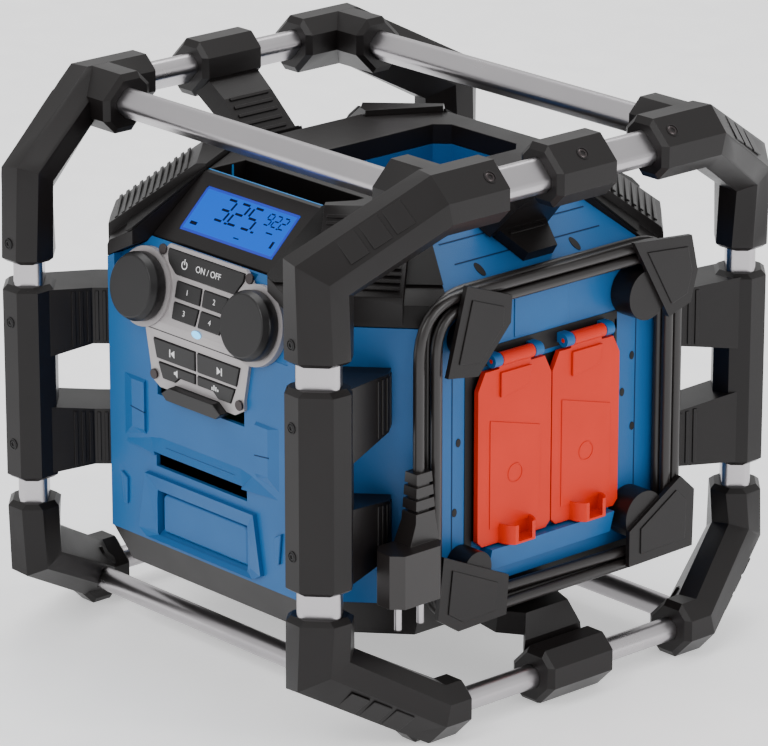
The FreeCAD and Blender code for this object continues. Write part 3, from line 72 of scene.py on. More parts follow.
# Shared node group: moulded surface with fine grain, faint blotches, dust on top and lighter edges
surface = bpy.data.node_groups.new("moulded_surface", "ShaderNodeTree")
for label, kind, value in (("Color", "NodeSocketColor", (0.5, 0.5, 0.5, 1)),
                           ("Roughness", "NodeSocketFloat", 0.5), ("Grain Size", "NodeSocketFloat", 900.0),
                           ("Grain", "NodeSocketFloat", 0.2), ("Dust", "NodeSocketFloat", 0.1),
                           ("Edge", "NodeSocketFloat", 0.2)):
    socket = surface.interface.new_socket(label, in_out="INPUT", socket_type=kind)
    socket.default_value = value
for label, kind in (("Color", "NodeSocketColor"), ("Roughness", "NodeSocketFloat"),
                    ("Height", "NodeSocketFloat")):
    surface.interface.new_socket(label, in_out="OUTPUT", socket_type=kind)
nodes, links = surface.nodes, surface.links
group_in, group_out = nodes.new("NodeGroupInput"), nodes.new("NodeGroupOutput")


def ranged(value, low, high):
    """Stretches a value so that low gives 0 and high gives 1."""
    node = nodes.new("ShaderNodeMapRange")
    links.new(value, node.inputs["Value"])
    node.inputs["From Min"].default_value = low
    node.inputs["From Max"].default_value = high
    return node.outputs["Result"]


def product(first, second):
    """One value times another."""
    node = nodes.new("ShaderNodeMath")
    node.operation = "MULTIPLY"
    links.new(first, node.inputs[0])
    links.new(second, node.inputs[1])
    return node.outputs[0]


def tinted(amount, below, tint, blend="MIX"):
    """Lays some of a plain tint over the color below."""
    node = nodes.new("ShaderNodeMix")
    node.data_type = "RGBA"
    node.blend_type = blend
    links.new(amount, node.inputs["Factor"])
    links.new(below, node.inputs["A"])
    node.inputs["B"].default_value = tint
    return node.outputs["Result"]


coords = nodes.new("ShaderNodeTexCoord")
fine, broad = nodes.new("ShaderNodeTexNoise"), nodes.new("ShaderNodeTexNoise")
links.new(coords.outputs["Object"], fine.inputs["Vector"])
links.new(group_in.outputs["Grain Size"], fine.inputs["Scale"])
fine.inputs["Detail"].default_value = 2.0
links.new(coords.outputs["Object"], broad.inputs["Vector"])
broad.inputs["Scale"].default_value = 26.0
broad.inputs["Detail"].default_value = 4.0
geometry = nodes.new("ShaderNodeNewGeometry")
up = nodes.new("ShaderNodeSeparateXYZ")
links.new(geometry.outputs["Normal"], up.inputs["Vector"])
dust_amount = product(ranged(up.outputs["Z"], 0.4, 1.0), group_in.outputs["Dust"])
edge_amount = product(ranged(geometry.outputs["Pointiness"], 0.52, 0.62), group_in.outputs["Edge"])
blotched = tinted(broad.outputs["Fac"], group_in.outputs["Color"], (0.82, 0.82, 0.84, 1), "MULTIPLY")
dusted = tinted(dust_amount, blotched, (0.45, 0.44, 0.43, 1))
links.new(tinted(edge_amount, dusted, (0.6, 0.6, 0.6, 1)), group_out.inputs["Color"])
rough_swing = 0.14
rough = nodes.new("ShaderNodeMath")
rough.operation = "MULTIPLY_ADD"
links.new(broad.outputs["Fac"], rough.inputs[0])
rough.inputs[1].default_value = rough_swing
links.new(group_in.outputs["Roughness"], rough.inputs[2])
links.new(rough.outputs[0], group_out.inputs["Roughness"])
links.new(product(fine.outputs["Fac"], group_in.outputs["Grain"]), group_out.inputs["Height"])


def material(name, color, roughness, grain=0.25, size=900.0, dust=0.0, edge=0.0, metal=0.0, level=0.5):
    """A finish on the shared surface: its color and mean roughness, and how grainy and dusty it is."""
    made = bpy.data.materials.new(name)
    made.use_nodes = True
    tree = made.node_tree
    shader = tree.nodes["Principled BSDF"]
    group = tree.nodes.new("ShaderNodeGroup")
    group.node_tree = surface
    for label, value in (("Color", (*color, 1)), ("Roughness", roughness - rough_swing / 2),
                         ("Grain Size", size), ("Grain", grain), ("Dust", dust), ("Edge", edge)):
        group.inputs[label].default_value = value
    bump = tree.nodes.new("ShaderNodeBump")
    bump.inputs["Strength"].default_value = 0.35
    bump.inputs["Distance"].default_value = 0.0004
    tree.links.new(group.outputs["Color"], shader.inputs["Base Color"])
    tree.links.new(group.outputs["Roughness"], shader.inputs["Roughness"])
    tree.links.new(group.outputs["Height"], bump.inputs["Height"])
    tree.links.new(bump.outputs["Normal"], shader.inputs["Normal"])
    shader.inputs["Metallic"].default_value = metal
    shader.inputs["Specular IOR Level"].default_value = level
    return made


def lit(name, color, light, strength, roughness=0.5, level=0.5):
    """A plain finish that gives off light of its own."""
    made = bpy.data.materials.new(name)
    made.use_nodes = True
    shader = made.node_tree.nodes["Principled BSDF"]
    for label, value in (("Base Color", (*color, 1)), ("Roughness", roughness), ("Specular IOR Level", level),
                         ("Emission Color", (*light, 1)), ("Emission Strength", strength)):
        shader.inputs[label].default_value = value
    return made


BLACK = material("warm_black_plastic", (0.0070, 0.0055, 0.0054), 0.38, dust=0.002, level=0.28)
DEEP = material("deep_black_plastic", (0.005, 0.0045, 0.0048), 0.5, level=0.3)
BLUE = material("blue_plastic", (0.0035, 0.098, 0.290), 0.42, grain=0.6, size=1400.0, dust=0.01, level=0.35)
# Dark blue painted shade, laid where grooves, creases and the air slot fall into shade
GROOVE_SHADE = material("blue_groove_shade", (0.002, 0.022, 0.075), 0.6, level=0.2)
RED = material("orange_red_plastic", (0.66, 0.022, 0.005), 0.42, level=0.2)
SILVER = material("silver_paint", (0.40, 0.375, 0.375), 0.40, grain=0.5, edge=0.02, metal=0.45)
METAL = material("satin_aluminium", (0.50, 0.48, 0.49), 0.30, grain=0.3, size=700.0, metal=1.0)
STEEL = material("screw_steel", (0.07, 0.06, 0.06), 0.34, grain=0.1, metal=1.0)
KEY = material("key_rubber", (0.0065, 0.0058, 0.0062), 0.38, grain=0.1, level=0.4)
CORD = material("cord_rubber", (0.012, 0.0095, 0.009), 0.33, grain=0.15)
BOARD = material("board_green", (0.02, 0.10, 0.04), 0.4)
WHITE = material("print_white", (0.78, 0.78, 0.78), 0.5, grain=0.05)
TRIM = material("light_blue_trim", (0.01, 0.22, 0.56), 0.4, level=0.3)
MESH = material("speaker_mesh", (0.006, 0.0052, 0.005), 0.55, grain=1.0, size=2600.0, level=0.25)
DIGIT = material("display_digits", (0.001, 0.004, 0.02), 0.5, grain=0.0, level=0.1)
FLOOR = material("floor_pale", (0.90, 0.90, 0.90), 0.7, grain=0.0)
floor_shader = FLOOR.node_tree.nodes["Principled BSDF"]
floor_shader.inputs["Emission Color"].default_value = (1, 1, 1, 1)
floor_shader.inputs["Emission Strength"].default_value = 0.55
floor.data.materials.append(FLOOR)


def show(obj, body, look):
    """Gives a finished piece its finish and its body."""
    obj.data.materials.clear()
    obj.data.materials.append(look)
    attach(obj, body)
    return obj


def soften(made, width, segments, angle):
    """Rounds the edges sharper than the angle in degrees, and shades the rest smooth."""
    if width:
        bevel = made.modifiers.new("edges", "BEVEL")
        bevel.width = width
        bevel.segments = segments
        bevel.limit_method = "ANGLE"
        bevel.angle_limit = math.radians(angle)
        bevel.harden_normals = True
    for face in made.data.polygons:
        face.use_smooth = True
    made.data.set_sharp_from_angle(angle=math.radians(angle))


def refine(node, body, look, width=0.0009, segments=2, angle=28):
    """Copies a CAD node's form, joins its faces, rounds its edges and shades it smooth."""
    made = bpy.data.objects.new(node + "_form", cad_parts[node].data.copy())
    made.data.name = node + "_form"
    scene.collection.objects.link(made)
    mesh = bmesh.new()
    mesh.from_mesh(made.data)
    bmesh.ops.remove_doubles(mesh, verts=mesh.verts, dist=2e-6)
    bmesh.ops.dissolve_limit(mesh, angle_limit=math.radians(1.0), verts=mesh.verts, edges=mesh.edges)
    mesh.to_mesh(made.data)
    mesh.free()
    soften(made, width, segments, angle)
    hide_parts(node)
    return show(made, body, look)


def solid(name, points, faces):
    """A new object from points in metres, with its faces turned outwards."""
    data = bpy.data.meshes.new(name)
    data.from_pydata([tuple(p) for p in points], [], faces)
    made = bpy.data.objects.new(name, data)
    scene.collection.objects.link(made)
    mesh = bmesh.new()
    mesh.from_mesh(data)
    bmesh.ops.recalc_face_normals(mesh, faces=mesh.faces)
    mesh.to_mesh(data)
    mesh.free()
    return made


def prism(name, points, travel, look, body="radio", width=0.0):
    """A closed solid: an outline in metres, moved along a vector, with its edges rounded by the width."""
    travel = Vector(travel)
    low = [Vector(p) for p in points]
    count = len(low)
    faces = [tuple(range(count)), tuple(range(2 * count - 1, count - 1, -1))]
    faces += [(i, i + count, (i + 1) % count + count, (i + 1) % count) for i in range(count)]
    made = solid(name, low + [p + travel for p in low], faces)
    if width:
        soften(made, width, 2, 30)
    return show(made, body, look)


def relief(name, rows, faces, look=BLUE):
    """Sloped facets from corner points in millimetres, with crisp edges."""
    return show(solid(name, [(x / 1000, y / 1000, z / 1000) for x, y, z in rows], faces), "radio", look)


def rect(a0, b0, a1, b1):
    """The four corners of a rectangle in a plane."""
    return [(a0, b0), (a1, b0), (a1, b1), (a0, b1)]


def oval(wide, tall):
    """24 points round an oval in a plane, from its half width and half height."""
    return [(wide * math.cos(t), tall * math.sin(t)) for t in [math.radians(15 * i) for i in range(24)]]


def on_front(y, outline):
    """An outline of x and z in millimetres, standing at a y, in metres."""
    return [(x / 1000, y / 1000, z / 1000) for x, z in outline]


def on_side(x, outline):
    """An outline of y and z in millimetres, standing at an x, in metres."""
    return [(x / 1000, y / 1000, z / 1000) for y, z in outline]


def patch(middle, run, side):
    """The four corners of a flat patch about its middle."""
    return [middle + run * a + side * b for a, b in ((-1, -1), (1, -1), (1, 1), (-1, 1))]


def mirrored(points, sx, sy=1):
    """Places or moves in millimetres at the right front, for another side of the radio, in metres."""
    return [Vector((sx * p.x, sy * p.y, p.z)) / 1000 for p in points]


# Mains cord: wound in and out again in two layers round the hooks, then down to the plug
outer, inner = 0.107, 0.099
near_x, far_x = 0.1583, 0.1663
high, low_in = 0.2905, 0.2825
foot, foot_in = 0.073, 0.081
plug_y, plug_top = -0.1215, 0.182
corners = [(near_x, outer, high, 0.064), (near_x, -outer, high, 0.064), (near_x, -outer, foot, 0.064),
           (near_x, inner, foot, 0.060), (near_x, inner, low_in, 0.048), (near_x, -inner, low_in, 0.048),
           (near_x, -inner, foot_in, 0.030), (far_x, inner, foot_in, 0.030), (far_x, inner, low_in, 0.048),
           (far_x, -outer, low_in, 0.056), (far_x, -outer, foot, 0.064), (far_x, outer, foot, 0.064),
           (far_x, outer, high, 0.064), (far_x, plug_y, high, 0.074)]
cord_end = Vector((far_x, plug_y, plug_top))
route = [Vector((near_x, outer, 0.092)), Vector((near_x, outer, 0.150))]
for i, (x, y, z, reach) in enumerate(corners):
    here = Vector((x, y, z))
    before = route[-1]
    after = Vector(corners[i + 1][:3]) if i + 1 < len(corners) else cord_end
    route += [here + (before - here).normalized() * reach, here, here + (after - here).normalized() * reach]
route.append(cord_end)
cord_data = bpy.data.curves.new("mains_cord", "CURVE")
cord_data.dimensions = "3D"
cord_data.bevel_depth = 0.00375
cord_data.bevel_resolution = 5
cord_data.resolution_u = 8
spline = cord_data.splines.new("NURBS")
spline.points.add(len(route) - 1)
for point, place in zip(spline.points, route):
    point.co = (*place, 1)
spline.order_u = 3
spline.use_endpoint_u = True
cord = bpy.data.objects.new("mains_cord", cord_data)
scene.collection.objects.link(cord)
cord_data.materials.append(CORD)
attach(cord, "radio")
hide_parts("cord_winding", "cord_tail")

plug = refine("mains_plug", "radio", CORD, 0.0014, 3)
for i, y in enumerate((-0.1435, -0.1245)):
    bpy.ops.mesh.primitive_cylinder_add(vertices=32, radius=0.00248, depth=0.0186,
                                        location=(0.1713, y, 0.0904))
    pin = bpy.context.active_object
    pin.name = "plug_pin_%d" % i
    bpy.ops.object.transform_apply(location=True, rotation=True, scale=True)
    bevel = pin.modifiers.new("edges", "BEVEL")
    bevel.width = 0.0010
    bevel.segments = 3
    bevel.limit_method = "ANGLE"
    bpy.ops.object.shade_smooth()
    show(pin, "radio", METAL)
    pin.select_set(False)

# Cage: tubes in satin aluminium, mouldings in warm black with soft edges
for name in ("left", "right", "front", "rear"):
    refine("top_tube_" + name, "radio", METAL, 0.0)
    refine("bottom_tube_" + name, "radio", METAL, 0.0)
refine("upright_tubes", "radio", METAL, 0.0)
for corner in ("front_right", "rear_right", "front_left", "rear_left"):
    for name, width in (("upper_elbow_", 0.0036), ("lower_elbow_", 0.0036), ("sleeve_", 0.0030)):
        refine(name + corner, "radio", BLACK, width, 4, 20)
for side in ("left", "right"):
    refine("top_clamp_" + side, "radio", BLACK, 0.0034, 4, 20)
    refine("bottom_clamp_" + side, "radio", BLACK, 0.0030, 4, 20)

# Housing, its covers and what is inside
refine("main_housing", "radio", BLUE, 0.0008)
refine("top_cover", "radio", BLACK, 0.0012)
refine("base_tray", "radio", BLACK, 0.0012)
refine("speaker_pods", "radio", BLACK, 0.0010)
refine("outlet_insert", "radio", DEEP, 0.0006)
refine("control_plate", "radio", SILVER, 0.0005)
refine("cord_hooks", "radio", BLACK, 0.0016, 3)
refine("cord_gland", "radio", CORD, 0.0006)
refine("case_screws", "radio", STEEL, 0.0003)
refine("outlet_cover_front", "outlet_cover_front", RED, 0.0006)
refine("outlet_cover_rear", "outlet_cover_rear", RED, 0.0006)
refine("media_door", "media_door", BLACK, 0.0008)
refine("battery_pack", "battery_pack", BLACK, 0.0010)
refine("main_board", "radio", BOARD, 0.0)
refine("power_supply", "radio", DEEP, 0.0008)
refine("speaker_drivers", "radio", DEEP, 0.0004)
refine("subwoofer", "radio", DEEP, 0.0004)
refine("speaker_grilles", "radio", MESH, 0.0)
refine("display_module", "radio", DEEP, 0.0004)
for key in ("power", "preset_1", "preset_2", "preset_3", "preset_4", "previous", "next", "mute", "equalizer",
            "source"):
    refine("key_" + key, "key_" + key, KEY, 0.0006)
for knob in ("volume_knob", "tuning_knob"):
    refine(knob, knob, KEY, 0.0008)

# Display: a lit blue window
GLOW = lit("display_glow", (0.0, 0.03, 0.25), (0.0, 0.17, 0.95), 0.62, 0.35, 0.1)
refine("display_window", "radio", GLOW, 0.0003)

# Digits and marks on the display: bars between places on its leaning face
lcd_up, lcd_out = Vector((0, 0.7255, 0.6883)), Vector((0, -0.6883, 0.7255))
lcd_middle = Vector((0, -0.147, 0.291)) + lcd_up * 0.027
SEGMENTS = {"2": "abged", "3": "abgcd", "5": "afgcd", "9": "abfgcd"}
BARS = {"a": (0, 2, 1, 2), "b": (1, 1, 1, 2), "c": (1, 0, 1, 1), "d": (0, 0, 1, 0), "e": (0, 0, 0, 1),
        "f": (0, 1, 0, 2), "g": (0, 1, 1, 1)}


def lcd_bar(name, x0, y0, x1, y1, half, look=DIGIT):
    """A thin stroke lying on the display, between two places on it."""
    a, b = Vector((x0, y0)), Vector((x1, y1))
    side = Vector((-(b - a).y, (b - a).x)).normalized() * half
    spots = [lcd_middle + Vector((q.x, 0, 0)) + lcd_up * q.y - lcd_out * 0.0003
             for q in (a - side, b - side, b + side, a + side)]
    return prism(name, spots, lcd_out * 0.0002, look)


pitch, lean_over, end_gap = 1.48, 0.06, 1.25
for text, left, base, wide, tall, stroke in (("325", -0.0235, -0.0035, 0.0090, 0.0165, 0.00085),
                                             ("922", 0.0200, 0.0040, 0.0048, 0.0085, 0.00048)):
    for i, digit in enumerate(text):
        for bar in SEGMENTS[digit]:
            u0, v0, u1, v1 = BARS[bar]
            x = left + i * wide * pitch
            dx, dy = (u1 - u0) * stroke * end_gap, (v1 - v0) * stroke * end_gap
            start, end = [(x + u * wide + v * tall * lean_over, base + v * tall / 2)
                          for u, v in ((u0, v0), (u1, v1))]
            lcd_bar("digit_%s_%d_%s" % (text, i, bar), start[0] + dx, start[1] + dy, end[0] - dx, end[1] - dy,
                    stroke)
for i, (x, y, w, h) in enumerate(((-0.0110, -0.0040, 0.0013, 0.0007), (0.0155, -0.0040, 0.0013, 0.0007),
                                  (0.0338, 0.0035, 0.0008, 0.0005), (-0.0375, -0.0105, 0.0032, 0.0012),
                                  (0.0060, -0.0115, 0.0026, 0.0004), (0.0300, -0.0010, 0.0030, 0.0005),
                                  (0.0385, -0.0080, 0.0011, 0.0026))):
    lcd_bar("display_mark_%d" % i, x - w, y, x + w, y, h)

# Signs on the keys, printed in white, and the lit oval between the rows
lean = math.atan2(10.0, 49.0)
plate_up = Vector((0, math.sin(lean), math.cos(lean)))
plate_out = Vector((0, -math.cos(lean), math.sin(lean)))
PLATES = {"upper": (plate_up, plate_out), "lower": (Vector((0, 0, 1)), Vector((0, -1, 0)))}
crease = Vector((0, -0.1645, 0.241))


def sign(name, half, outline, key, look=WHITE, rise=0.00122):
    """A flat mark on one half of the control plate, from x and height over the crease in millimetres."""
    upward, outward = PLATES[half]
    spots = [crease + Vector((x / 1000, 0, 0)) + upward * (z / 1000) + outward * rise for x, z in outline]
    return prism(name, spots, outward * 0.00008, look, body=key)


def letters(name, text, x, z, size, key):
    """Generic letters or numbers as flat mesh on a key of the upper half."""
    data = bpy.data.curves.new(name + "_text", "FONT")
    data.body = text
    data.size = size / 1000
    data.extrude = 0.00004
    data.align_x = "CENTER"
    data.align_y = "CENTER"
    source = bpy.data.objects.new(name + "_text", data)
    mesh = bpy.data.meshes.new_from_object(source)
    upward, outward = PLATES["upper"]
    place = crease + Vector((x / 1000, 0, 0)) + upward * (z / 1000) + outward * 0.00126
    turn = Matrix((Vector((1, 0, 0)), upward, outward)).transposed().to_4x4()
    mesh.transform(Matrix.Translation(place) @ turn)
    bpy.data.objects.remove(source)
    bpy.data.curves.remove(data)
    made = bpy.data.objects.new(name, mesh)
    scene.collection.objects.link(made)
    return show(made, key, WHITE)


def arc(x, z, radius, start, sweep):
    """21 points along an arc, with its angles in degrees."""
    return [(x + radius * math.cos(t), z + radius * math.sin(t))
            for t in [math.radians(start + sweep * i / 20) for i in range(21)]]


for number, x, z in (("1", -13.5, 24.5), ("2", 13.5, 24.5), ("3", -14, 10.5), ("4", 12, 10.5)):
    letters("number_" + number, number, x, z, 5.2, "key_preset_" + number)
letters("power_words", "ON / OFF", 4, 41.5, 6.0, "key_power")
sign("power_ring", "upper", arc(-20, 41.5, 2.9, 120, 300) + arc(-20, 41.5, 2.2, 420, -300), "key_power")
sign("power_bar", "upper", rect(-20.4, 41.8, -19.6, 45.6), "key_power")
for sx, key in ((-1, "key_previous"), (1, "key_next")):
    sign(key + "_arrow", "lower", [(sx * 21.5, -21.3), (sx * 25.3, -18.7), (sx * 21.5, -16.1)][::sx], key)
    sign(key + "_stop", "lower", rect(sx * 25.6, -21.3, sx * 26.6, -16.1), key)
sign("mute_body", "lower", [(-22, -32.2), (-20.6, -32.2), (-18.6, -34), (-18.6, -28.6), (-20.6, -30.4),
                            (-22, -30.4)], "key_mute")
for i, tall in enumerate((2.0, 3.6, 2.8, 1.6)):
    bar = rect(16 + i * 1.9, -33, 17.1 + i * 1.9, -33 + tall)
    sign("equalizer_bar_%d" % i, "lower", bar, "key_equalizer")
LIT_OVAL = lit("lit_oval", (0.1, 0.5, 0.9), (0.10, 0.55, 1.0), 1.6)
sign("lit_oval", "lower", oval(4.6, 2.6), "radio", LIT_OVAL, 0.0004)

# Ribs across the sloped band of each corner pod
CORNERS = ((1, 1), (1, -1), (-1, 1), (-1, -1))
along = Vector((0.7366, 0.6763, 0)).normalized()
outward = Vector((along.y, -along.x, 0))
corner_face = Vector((124.0, -134.5, 0))
slope = Vector((1, -1, 2)).normalized()
rib_run = slope.cross(along).normalized() * 1.3
band_foot, band_top = 291.0, 331.0
for c, (sx, sy) in enumerate(CORNERS):
    for i in range(13):
        middle = corner_face - outward * (i * 4.6 - 3.5)
        middle.z = 290.0 - ((middle.x - 129.0) - (middle.y + 129.0)) / 2
        if band_foot <= middle.z <= band_top:
            prism("pod_rib_%d_%d" % (c, i), mirrored(patch(middle, along * 25.5, rib_run), sx, sy),
                  mirrored([slope * 1.2], sx, sy)[0], BLACK, width=0.0004)

# Raised panel, ring mark and thumb wedge on each outlet cover
for name, middle in (("outlet_cover_front", -32.25), ("outlet_cover_rear", 31.25)):
    outline = [(middle + y, z) for y, z in ((-22, 124), (22, 124), (22, 186), (-22, 198))]
    prism(name + "_panel", on_side(160.0, outline), (0.0007, 0, 0), RED, body=name, width=0.0004)
    bpy.ops.mesh.primitive_torus_add(major_radius=0.0062, minor_radius=0.00045, major_segments=40,
                                     minor_segments=8, location=(0.1608, middle / 1000, 0.158),
                                     rotation=(0, math.pi / 2, 0))
    torus = bpy.context.active_object
    torus.name = name + "_ring"
    bpy.ops.object.transform_apply(location=True, rotation=True, scale=True)
    bpy.ops.object.shade_smooth()
    show(torus, name, RED)
    torus.select_set(False)
    outline = [(middle + y, z) for y, z in ((-13.5, 229), (13.5, 229), (10.5, 216), (-13.5, 212))]
    prism(name + "_wedge", on_side(160.2, outline), (0.0016, 0, 0), RED, body=name, width=0.0005)

# Brow over the air slot: swells down to an overhanging edge with two pointed ends
front_y, raised_y, brow_y, rim_y = -161.8, -163.9, -165.2, -165.0
low_edge = [(-79, 147.6), (-44, 147.0), (-45, 149.6), (45, 149.6), (44, 147.0), (79, 147.6)]
high_edge = [(-79, 150.0), (-52, 157.5), (-40, 160.0), (40, 160.0), (52, 157.5), (79, 150.0)]
rows = [(x, front_y, z) for x, z in high_edge]
rows += [(x, front_y if abs(x) > 70 else brow_y, z) for x, z in low_edge]
rows += [(x, front_y, z - 0.2) for x, z in low_edge]
faces = [(i, i + 1, i + 7, i + 6) for i in range(5)] + [(i + 6, i + 7, i + 13, i + 12) for i in range(5)]
relief("front_brow", rows, faces)
# The slot's step in dark blue: painted shade in the slot under the brow
relief("front_slot_shade", [(-40, front_y, 151.4), (38, front_y, 151.4), (36, raised_y, 154.4),
                           (-34, raised_y, 154.4)], [(0, 1, 2, 3)], GROOVE_SHADE)

# Rim round the recessed panel: slopes outwards to a proud outer edge
outer_rim = [(-55, 132), (55, 132), (62, 92), (54, 87.5), (-54, 87.5), (-62, 92)]
inner_rim = [(-45.5, 121.5), (45.5, 121.5), (47.5, 93), (45, 90), (-45, 90), (-47.5, 93)]
rows = [(x, front_y, z) for x, z in inner_rim] + [(x, rim_y, z) for x, z in outer_rim]
rows += [(x * 1.008, front_y, z + (0.3 if z > 100 else -0.3)) for x, z in outer_rim]
faces = [(i, (i + 1) % 6, (i + 1) % 6 + 6, i + 6) for i in range(6)]
faces += [(i + 6, (i + 1) % 6 + 6, (i + 1) % 6 + 12, i + 12) for i in range(6)]
relief("front_rim", rows, faces)
panel = [(-43, 92), (43, 92), (43, 117), (40, 119.5), (-40, 119.5), (-43, 117)]
prism("front_panel", on_front(-151.0, panel), (0, -0.0085, 0), BLUE, width=0.0018)

# Both sides of the front: upright bars beside the rim, painted shade for short creases, raised shoulders
for sx in (-1, 1):
    bar = [(sx * x, z) for x, z in ((75, 122.5), (81.5, 126), (79, 104), (75.5, 104))][::sx]
    prism("front_bar_%d" % sx, on_front(-161.5, bar), (0, -0.0024, 0), BLUE, width=0.0008)
    # Short crease as a dark blue strip of painted shade
    crease_shade = [(sx * x, z) for x, z in ((56, 173.0), (70, 174.4), (70, 175.1), (56, 173.7))][::sx]
    prism("front_crease_%d" % sx, on_front(-161.9, crease_shade), (0, -0.0022, 0), GROOVE_SHADE)
    rows = [(sx * x, y, z) for x, y, z in ((69, raised_y, 194), (79, front_y, 196), (79, front_y, 152),
                                           (69, raised_y, 161), (56, raised_y, 194), (56, raised_y, 161),
                                           (56, front_y, 196), (69, front_y, 196), (56, front_y, 157.5),
                                           (69, front_y, 155))]
    relief("front_shoulder_%d" % sx, rows, [(0, 1, 2, 3), (0, 3, 5, 4), (0, 4, 6, 7), (0, 7, 1), (3, 9, 8, 5),
                                            (3, 2, 9), (4, 5, 8, 6)])
prism("plate_line_1", on_front(-164.55, rect(-51, 235.2, 51, 234.6)), (0, -0.0001, 0), KEY)

# Right side: painted shadow in the recess round the covers, bare raised panel over them, painted shade for
# small holes and grooves
for name, recess in (("left", rect(-71.0, 111, -64.8, 242)), ("top", rect(-71.0, 233.2, 64, 246)),
                     ("right", rect(61.8, 111, 64.0, 240))):
    prism("outlet_shadow_" + name, on_side(154.1, recess), (0.0004, 0, 0), DEEP)
bare = rect(-28, 247.5, 19.5, 273.5)
prism("outlet_bare_panel", on_side(154.0, bare), (0.0007, 0, 0), BLUE, width=0.0005)
# Dark ovals of painted shade where the small holes are
for i, (y, z) in enumerate(((78.4, 211.5), (69.9, 187.9), (79.5, 162.2), (-76.4, 186.8), (-79.5, 140.0))):
    disc = [(y + a, z + b) for a, b in oval(2.0, 2.9)]
    prism("side_hole_shade_%d" % i, on_side(154.05, disc), (0.0003, 0, 0), DEEP)
# Thin dark blue lines of painted shade along the grooves
for sy in (-1, 1):
    groove = rect(sy * 81.4, 92, sy * 82.2, 262)
    prism("side_groove_shade_%d" % sy, on_side(154.02, groove), (0.0002, 0, 0), GROOVE_SHADE)

# Grooves and small holes in the slopes over both sides, drawn as painted shade
slope_in = Vector((-40, 0, 26)).normalized()
slope_face = Vector((26, 0, 40)).normalized()


def on_slope(x, y=0.0):
    """A place on the right slope of the housing, in millimetres."""
    return Vector((x, y, 314 - (x - 114) * 0.65))


for sx in (-1, 1):
    # Grooves as dark blue strips of painted shade
    for i, x in enumerate((121.6, 136.5)):
        spots = patch(on_slope(x) + slope_face * 0.12, slope_in * 0.5, Vector((0, 64, 0)))
        prism("slope_groove_shade_%d_%d" % (sx, i), mirrored(spots, sx), mirrored([slope_face * 0.12], sx)[0], GROOVE_SHADE)
    # Holes as dark ovals of painted shade
    for i, y in enumerate((-48.9, 35.0)):
        spots = [on_slope(143.7, y + a) + slope_in * b + slope_face * 0.1 for a, b in oval(2.8, 5.8)]
        prism("slope_hole_shade_%d_%d" % (sx, i), mirrored(spots, sx), mirrored([slope_face * 0.3], sx)[0], DEEP)

# Ribs down the sleeve arms, on both their side faces: the arms lean and widen past their root
arm_middle, arm_root, arm_length, arm_drift, arm_growth = 181.75, 12.0, 41.6, 19.3, 8.0
for c, (sx, sy) in enumerate(CORNERS):
    for up in (-1, 1):
        for face in (-1, 1):
            for i, t in enumerate((4.0, 9.0, 14.0, 19.0, 24.0)):
                drift = -arm_drift * max(0.0, t - arm_root) / arm_length
                grow = arm_growth * max(0.0, t - arm_root) / arm_length
                near, far = 23 - grow + 2.0, 62 + 0.4 * grow - 2.0
                z0, z1 = sorted((arm_middle + up * near, arm_middle + up * far))
                middle = corner_face + outward * t + along * (drift + face * 20.4)
                half = (outward - along * (arm_drift / arm_length if t > arm_root else 0)) * 1.3
                thick = along * (face * 1.0)
                spots = [middle - half, middle + half, middle + half + thick, middle - half + thick]
                spots = [Vector((sx * q.x, sy * q.y, z0)) / 1000 for q in spots]
                prism("arm_rib_%d_%d_%d_%d" % (c, up + 1, face + 1, i), spots, (0, 0, (z1 - z0) / 1000),
                      BLACK, width=0.0005)

# Raised pads along the slanted leg of each elbow, with gaps between them
for level, bend_z, up in (("upper", 319.4, 1), ("lower", 59.4, -1)):
    start, end = Vector((146, -187, bend_z)), Vector((174, -117, bend_z + up * 40.0))
    leg = (end - start).normalized()
    out = Vector((0.6763, -0.7366, up * 0.6)) + Vector((0.7071, 0, up * 0.7071)) * 0.4
    out = (out - leg * out.dot(leg)).normalized()
    across = leg.cross(out)
    for c, (sx, sy) in enumerate(CORNERS):
        for i, share in enumerate((0.30, 0.50, 0.70)):
            spots = patch(start.lerp(end, share) + out * 16.6, leg * 7.0, across * 9.0)
            prism("%s_pad_%d_%d" % (level, c, i), mirrored(spots, sx, sy), mirrored([out], sx, sy)[0], BLACK,
                  width=0.0009)


def head(name, centre, out, radius, look=STEEL, collar=BLACK):
    """A screw head in a raised collar: rings about an axis, with a six-lobed socket."""
    out = Vector(out).normalized()
    side = out.cross(Vector((0, 0, 1))).normalized()
    other = out.cross(side)
    count = 24
    collar_rings = ((1.45, -0.3), (1.40, 0.35), (1.12, 0.45), (1.05, -0.2))
    screw_rings = ((1.0, -0.3), (1.0, 0.1), (0.8, 0.45), (0.5, 0.45), (0.42, -0.2))
    for part, rings, finish in (("collar", collar_rings, collar), ("screw", screw_rings, look)):
        points, faces = [], []
        for r, h in rings:
            for j in range(count):
                turn = math.radians(360 * j / count)
                lobe = 0.16 * math.cos(6 * turn) if part == "screw" and r <= 0.5 else 0
                reach = radius * r * (1 + lobe)
                points.append(Vector(centre) + side * (reach * math.cos(turn))
                              + other * (reach * math.sin(turn)) + out * (h / 1000))
        for k in range(len(rings) - 1):
            low, top = k * count, (k + 1) * count
            faces += [(low + j, low + (j + 1) % count, top + (j + 1) % count, top + j) for j in range(count)]
        if part == "screw":
            faces.append(tuple(range(len(points) - count, len(points))))
        show(solid(name + "_" + part, points, faces), "radio", finish)


for sx in (-1, 1):
    for i, y in enumerate((-0.080, 0.0, 0.080)):
        head("cage_screw_%d_%d" % (sx, i), (sx * 0.18602, y, 0.37142), (sx, 0, 1), 0.0033)
for c, (sx, sy) in enumerate(CORNERS):
    for i, z in enumerate((0.2785, 0.2240, 0.1387)):
        head("post_hole_%d_%d" % (c, i), (sx * 0.1423, -sy * 0.2068, z), (-sx * 0.04, -sy, 0), 0.0027,
             DEEP, DEEP)

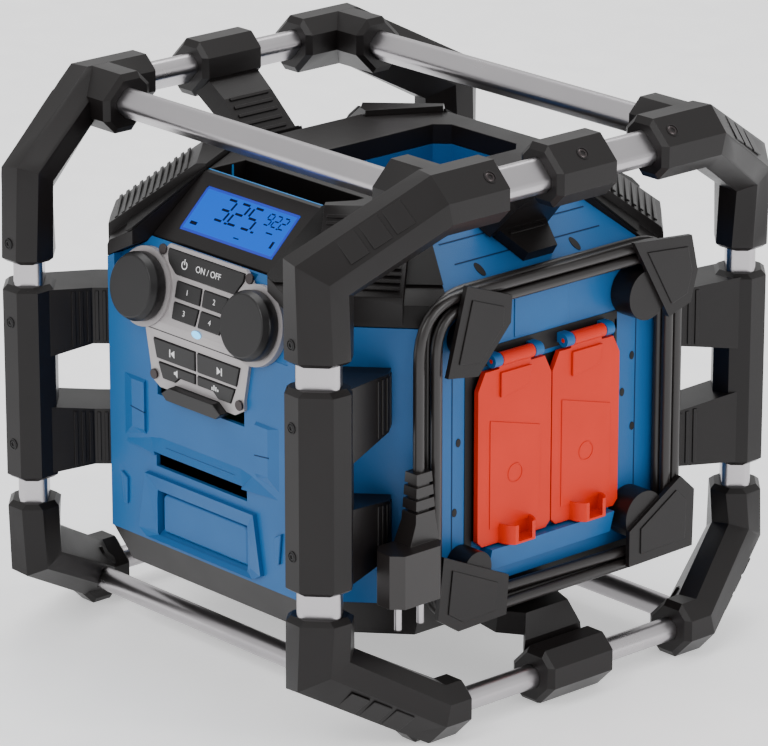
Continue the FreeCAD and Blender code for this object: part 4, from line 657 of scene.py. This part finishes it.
# Ribs over the arms of the top clamps, and two on each tongue
arm_top, arm_foot = Vector((141.0, 0, 343.0)), Vector((119.0, 0, 319.9))
arm_run = (arm_foot - arm_top).normalized()
arm_face = Vector((-0.7241, 0, 0.6897))
for sx in (-1, 1):
    for i in range(5):
        spots = patch(arm_top.lerp(arm_foot, 0.04 + i * 0.21), arm_run * 1.3, Vector((0, 17, 0)))
        prism("clamp_rib_%d_%d" % (sx, i), mirrored(spots, sx), mirrored([arm_face * 1.2], sx)[0], BLACK,
              width=0.0005)
    for i, x in enumerate((123.0, 131.0)):
        half = 22 - (x - 114) * 13 / 32
        spots = patch(on_slope(x) + slope_face * 8.2, slope_in * 1.1, Vector((0, half, 0)))
        prism("tongue_rib_%d_%d" % (sx, i), mirrored(spots, sx), mirrored([slope_face], sx)[0], BLACK,
              width=0.0004)

# Raised panels on the cord hooks: each hook's outline, drawn in about its middle
HOOK_PLATES = (((-88, 299), (-49, 285), (-50, 267), (-78, 237), (-104, 241)),
               ((59, 297), (112, 292), (118, 267), (112, 246), (92, 240)),
               ((-107, 122), (-50, 96), (-52, 69), (-94, 68), (-112, 80)),
               ((106, 126), (119, 114), (118, 74), (59, 73), (59, 98)))
for i, plate in enumerate(HOOK_PLATES):
    my, mz = sum(y for y, z in plate) / 5, sum(z for y, z in plate) / 5
    outline = [(my + (y - my) * 0.70, mz + (z - mz) * 0.70) for y, z in plate]
    prism("hook_panel_%d" % i, on_side(174.4, outline), (0.0010, 0, 0), BLACK, width=0.0006)

# Trim lines of the console and of the phone tray, and the deep blue edge of the display
console_line = [(x / 1000, y / 1000, 0.3279) for x, y in rect(-59, -103.8, 59, -102.6)]
prism("trim_console", console_line, (0, 0, 0.0003), TRIM)
for sx in (-1, 1):
    tray_line = on_side(sx * 58.9, rect(-84.0, 303.5, -82.6, 327.0))
    prism("trim_tray_%d" % sx, tray_line, (-sx * 0.0004, 0, 0), TRIM)
EDGE = lit("display_edge_glow", (0.0, 0.01, 0.2), (0.005, 0.06, 0.95), 0.4)
for i, ends in enumerate(((-0.0455, -0.0165, 0.0455, -0.0165), (-0.0455, 0.0165, 0.0455, 0.0165),
                          (-0.0452, -0.0160, -0.0452, 0.0160), (0.0452, -0.0160, 0.0452, 0.0160))):
    lcd_bar("display_edge_%d" % i, *ends, 0.0009, EDGE)
